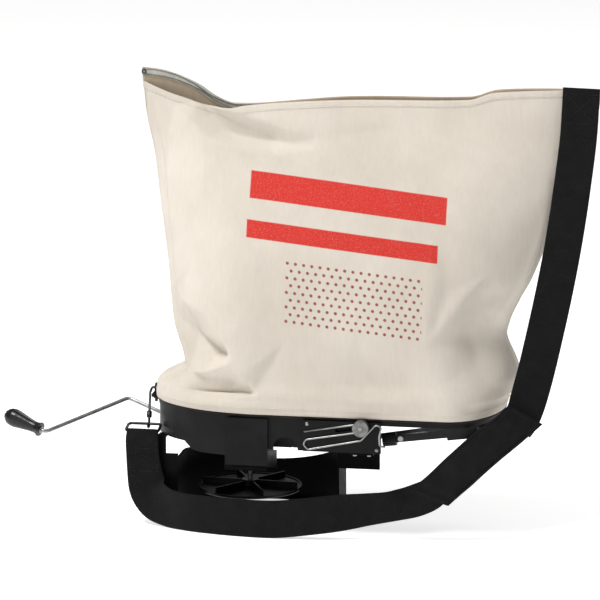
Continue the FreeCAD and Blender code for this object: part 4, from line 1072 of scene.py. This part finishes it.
WIRE_Y = -101.5
WIRE_BEND = 5.0
WIRE_RADIUS = 1.2
STOP_WIRE = [
    # corners as (x, z)
    (87.5, 138.5), (150.0, 149.5), (166.8, 151.0), (168.5, 142.0), (90.0, 128.3), (86.0, 122.5),
    (92.5, 115.5), (160.0, 129.5), (172.0, 143.0), (179.0, 150.5), (186.5, 148.5),
    (183.5, 135.5), (184.0, 123.5), (191.0, 122.5),
]
HOOK = [(-121.0, 7, 162.6), (-128.7, 7, 162.6), (-130.7, 4, 156), (-127, -22, 128),
        (-126.5, -25.2, 118.4), (-126.5, -31.6, 118.6), (-126.5, -32.6, 125.2)]
HOOK_BEND = 3.0
HOOK_RADIUS = 1.6
SWIVEL = (
    # distance past the hook's lower end and radius
    (-11.2, 1.6), (-11.0, 2.6), (-10.2, 3.3), (-2.8, 3.3), (-2.0, 2.6), (-1.8, 1.6),
)
RING_TILT = math.radians(12)
RING_BACK = (-131.0, -28.4, 122.8)
RING_DEPTH = 23.0
RING_HALF = 21.0
RING_RADIUS = 1.8
RING_BEND = 5.0


def build_hook():
    """The hook link with its swivel barrel, and the ring that the strap hangs on."""
    tube("link_wire", rounded_route(HOOK, HOOK_BEND), HOOK_RADIUS, "hook_steel", "frame",
         ("strap_link",))
    end = np.array(HOOK[3], float)
    way = end - np.array(HOOK[2], float)
    way /= np.linalg.norm(way)
    tube("link_swivel", np.array([end + way * reach for reach, _ in SWIVEL]),
         [radius for _, radius in SWIVEL], "hook_steel", "frame")
    back = np.array(RING_BACK)
    down = np.array((0, -math.cos(RING_TILT), -math.sin(RING_TILT))) * RING_DEPTH
    side = np.array((RING_HALF, 0, 0))
    corners = [back - side, back + side, back + side + down, back - side + down]
    tube("ring_wire", rounded_route(corners, RING_BEND, True), RING_RADIUS, "hook_steel", "frame",
         ("strap_ring",), True)


def build_floor():
    """The pale floor, as a stage outside the part."""
    mesh = bpy.data.meshes.new("floor")
    reach = FLOOR_REACH
    mesh.from_pydata([(-reach, -reach, 0), (reach, -reach, 0), (reach, reach, 0),
                      (-reach, reach, 0)], [], [(0, 1, 2, 3)])
    floor = bpy.data.objects.new("floor", mesh)
    bpy.context.scene.collection.objects.link(floor)
    look = Look("floor", FLOOR_ROUGH)
    look.shader.inputs["Base Color"].default_value = (FLOOR_TONE, FLOOR_TONE, FLOOR_TONE, 1)
    look.shader.inputs["Emission Color"].default_value = (1, 1, 1, 1)
    look.shader.inputs["Emission Strength"].default_value = FLOOR_GLOW
    mesh.materials.append(look.material)
    return floor


# ---------------------------------------------------------------- the whole
dress_nodes()
set_camera()
set_studio()
bag, front_grid, back_grid = build_bag()
sewn = bag_lines(front_grid, -1, FRONT_SEAMS)
sewn += bag_lines(back_grid, 1, BACK_SEAMS)
bag_seams = stitches("bag_stitching", sewn, "thread", BAG_THREAD)

lower = band("lower_webbing", LOWER_STRAP, webbing_half, "webbing", ("lower_strap",))
upper = band("upper_webbing", UPPER_STRAP, webbing_half, "webbing", ("upper_strap",))
pad = band("pad_cover", PAD, pad_half, "pad_fabric", ("shoulder_pad",), PAD_ACROSS)
pad_length = flowing(PAD)[4][-1]
upper_length = flowing(UPPER_STRAP)[4][-1]
pad_paths = [[(3, share), (pad_length - 3, share)] for share in (-PAD_BORDER, PAD_BORDER)]
pad_paths += [[(place_along, -PAD_BORDER), (place_along, PAD_BORDER)]
              for place_along in (END_SEAM, PAD_TAB, pad_length - PAD_TAB, pad_length - END_SEAM)]
stitches("pad_stitching", sewn_on(PAD, pad_half, pad_paths), "thread_black",
         STRAP_THREAD)
strap_seams = sewn_on(LOWER_STRAP, webbing_half, box_seam(*LOWER_BOX))
strap_seams += sewn_on(UPPER_STRAP, webbing_half,
                       box_seam(*(upper_length - reach for reach in UPPER_BOX)))
stitches("strap_stitching", strap_seams, "thread_black", STRAP_THREAD)

build_zip(back_grid)
tube("hem_binding", tray_outline(BINDING_LEVEL, BINDING_OUT), BINDING_RADIUS, "hem_binding",
     "frame", ("hem_band",), True, 12)
tube("crank_bar", rounded_route(crank_corners(), ROD_BEND), ROD_RADIUS, "rod_steel", "crank",
     ("crank_rod",), False, 24)
tube("stop_wire", rounded_route([(x, WIRE_Y, z) for x, z in STOP_WIRE], WIRE_BEND), WIRE_RADIUS,
     "rod_steel", "rate_stop", ("rate_wire",))
build_hook()

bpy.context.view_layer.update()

floor = build_floor()
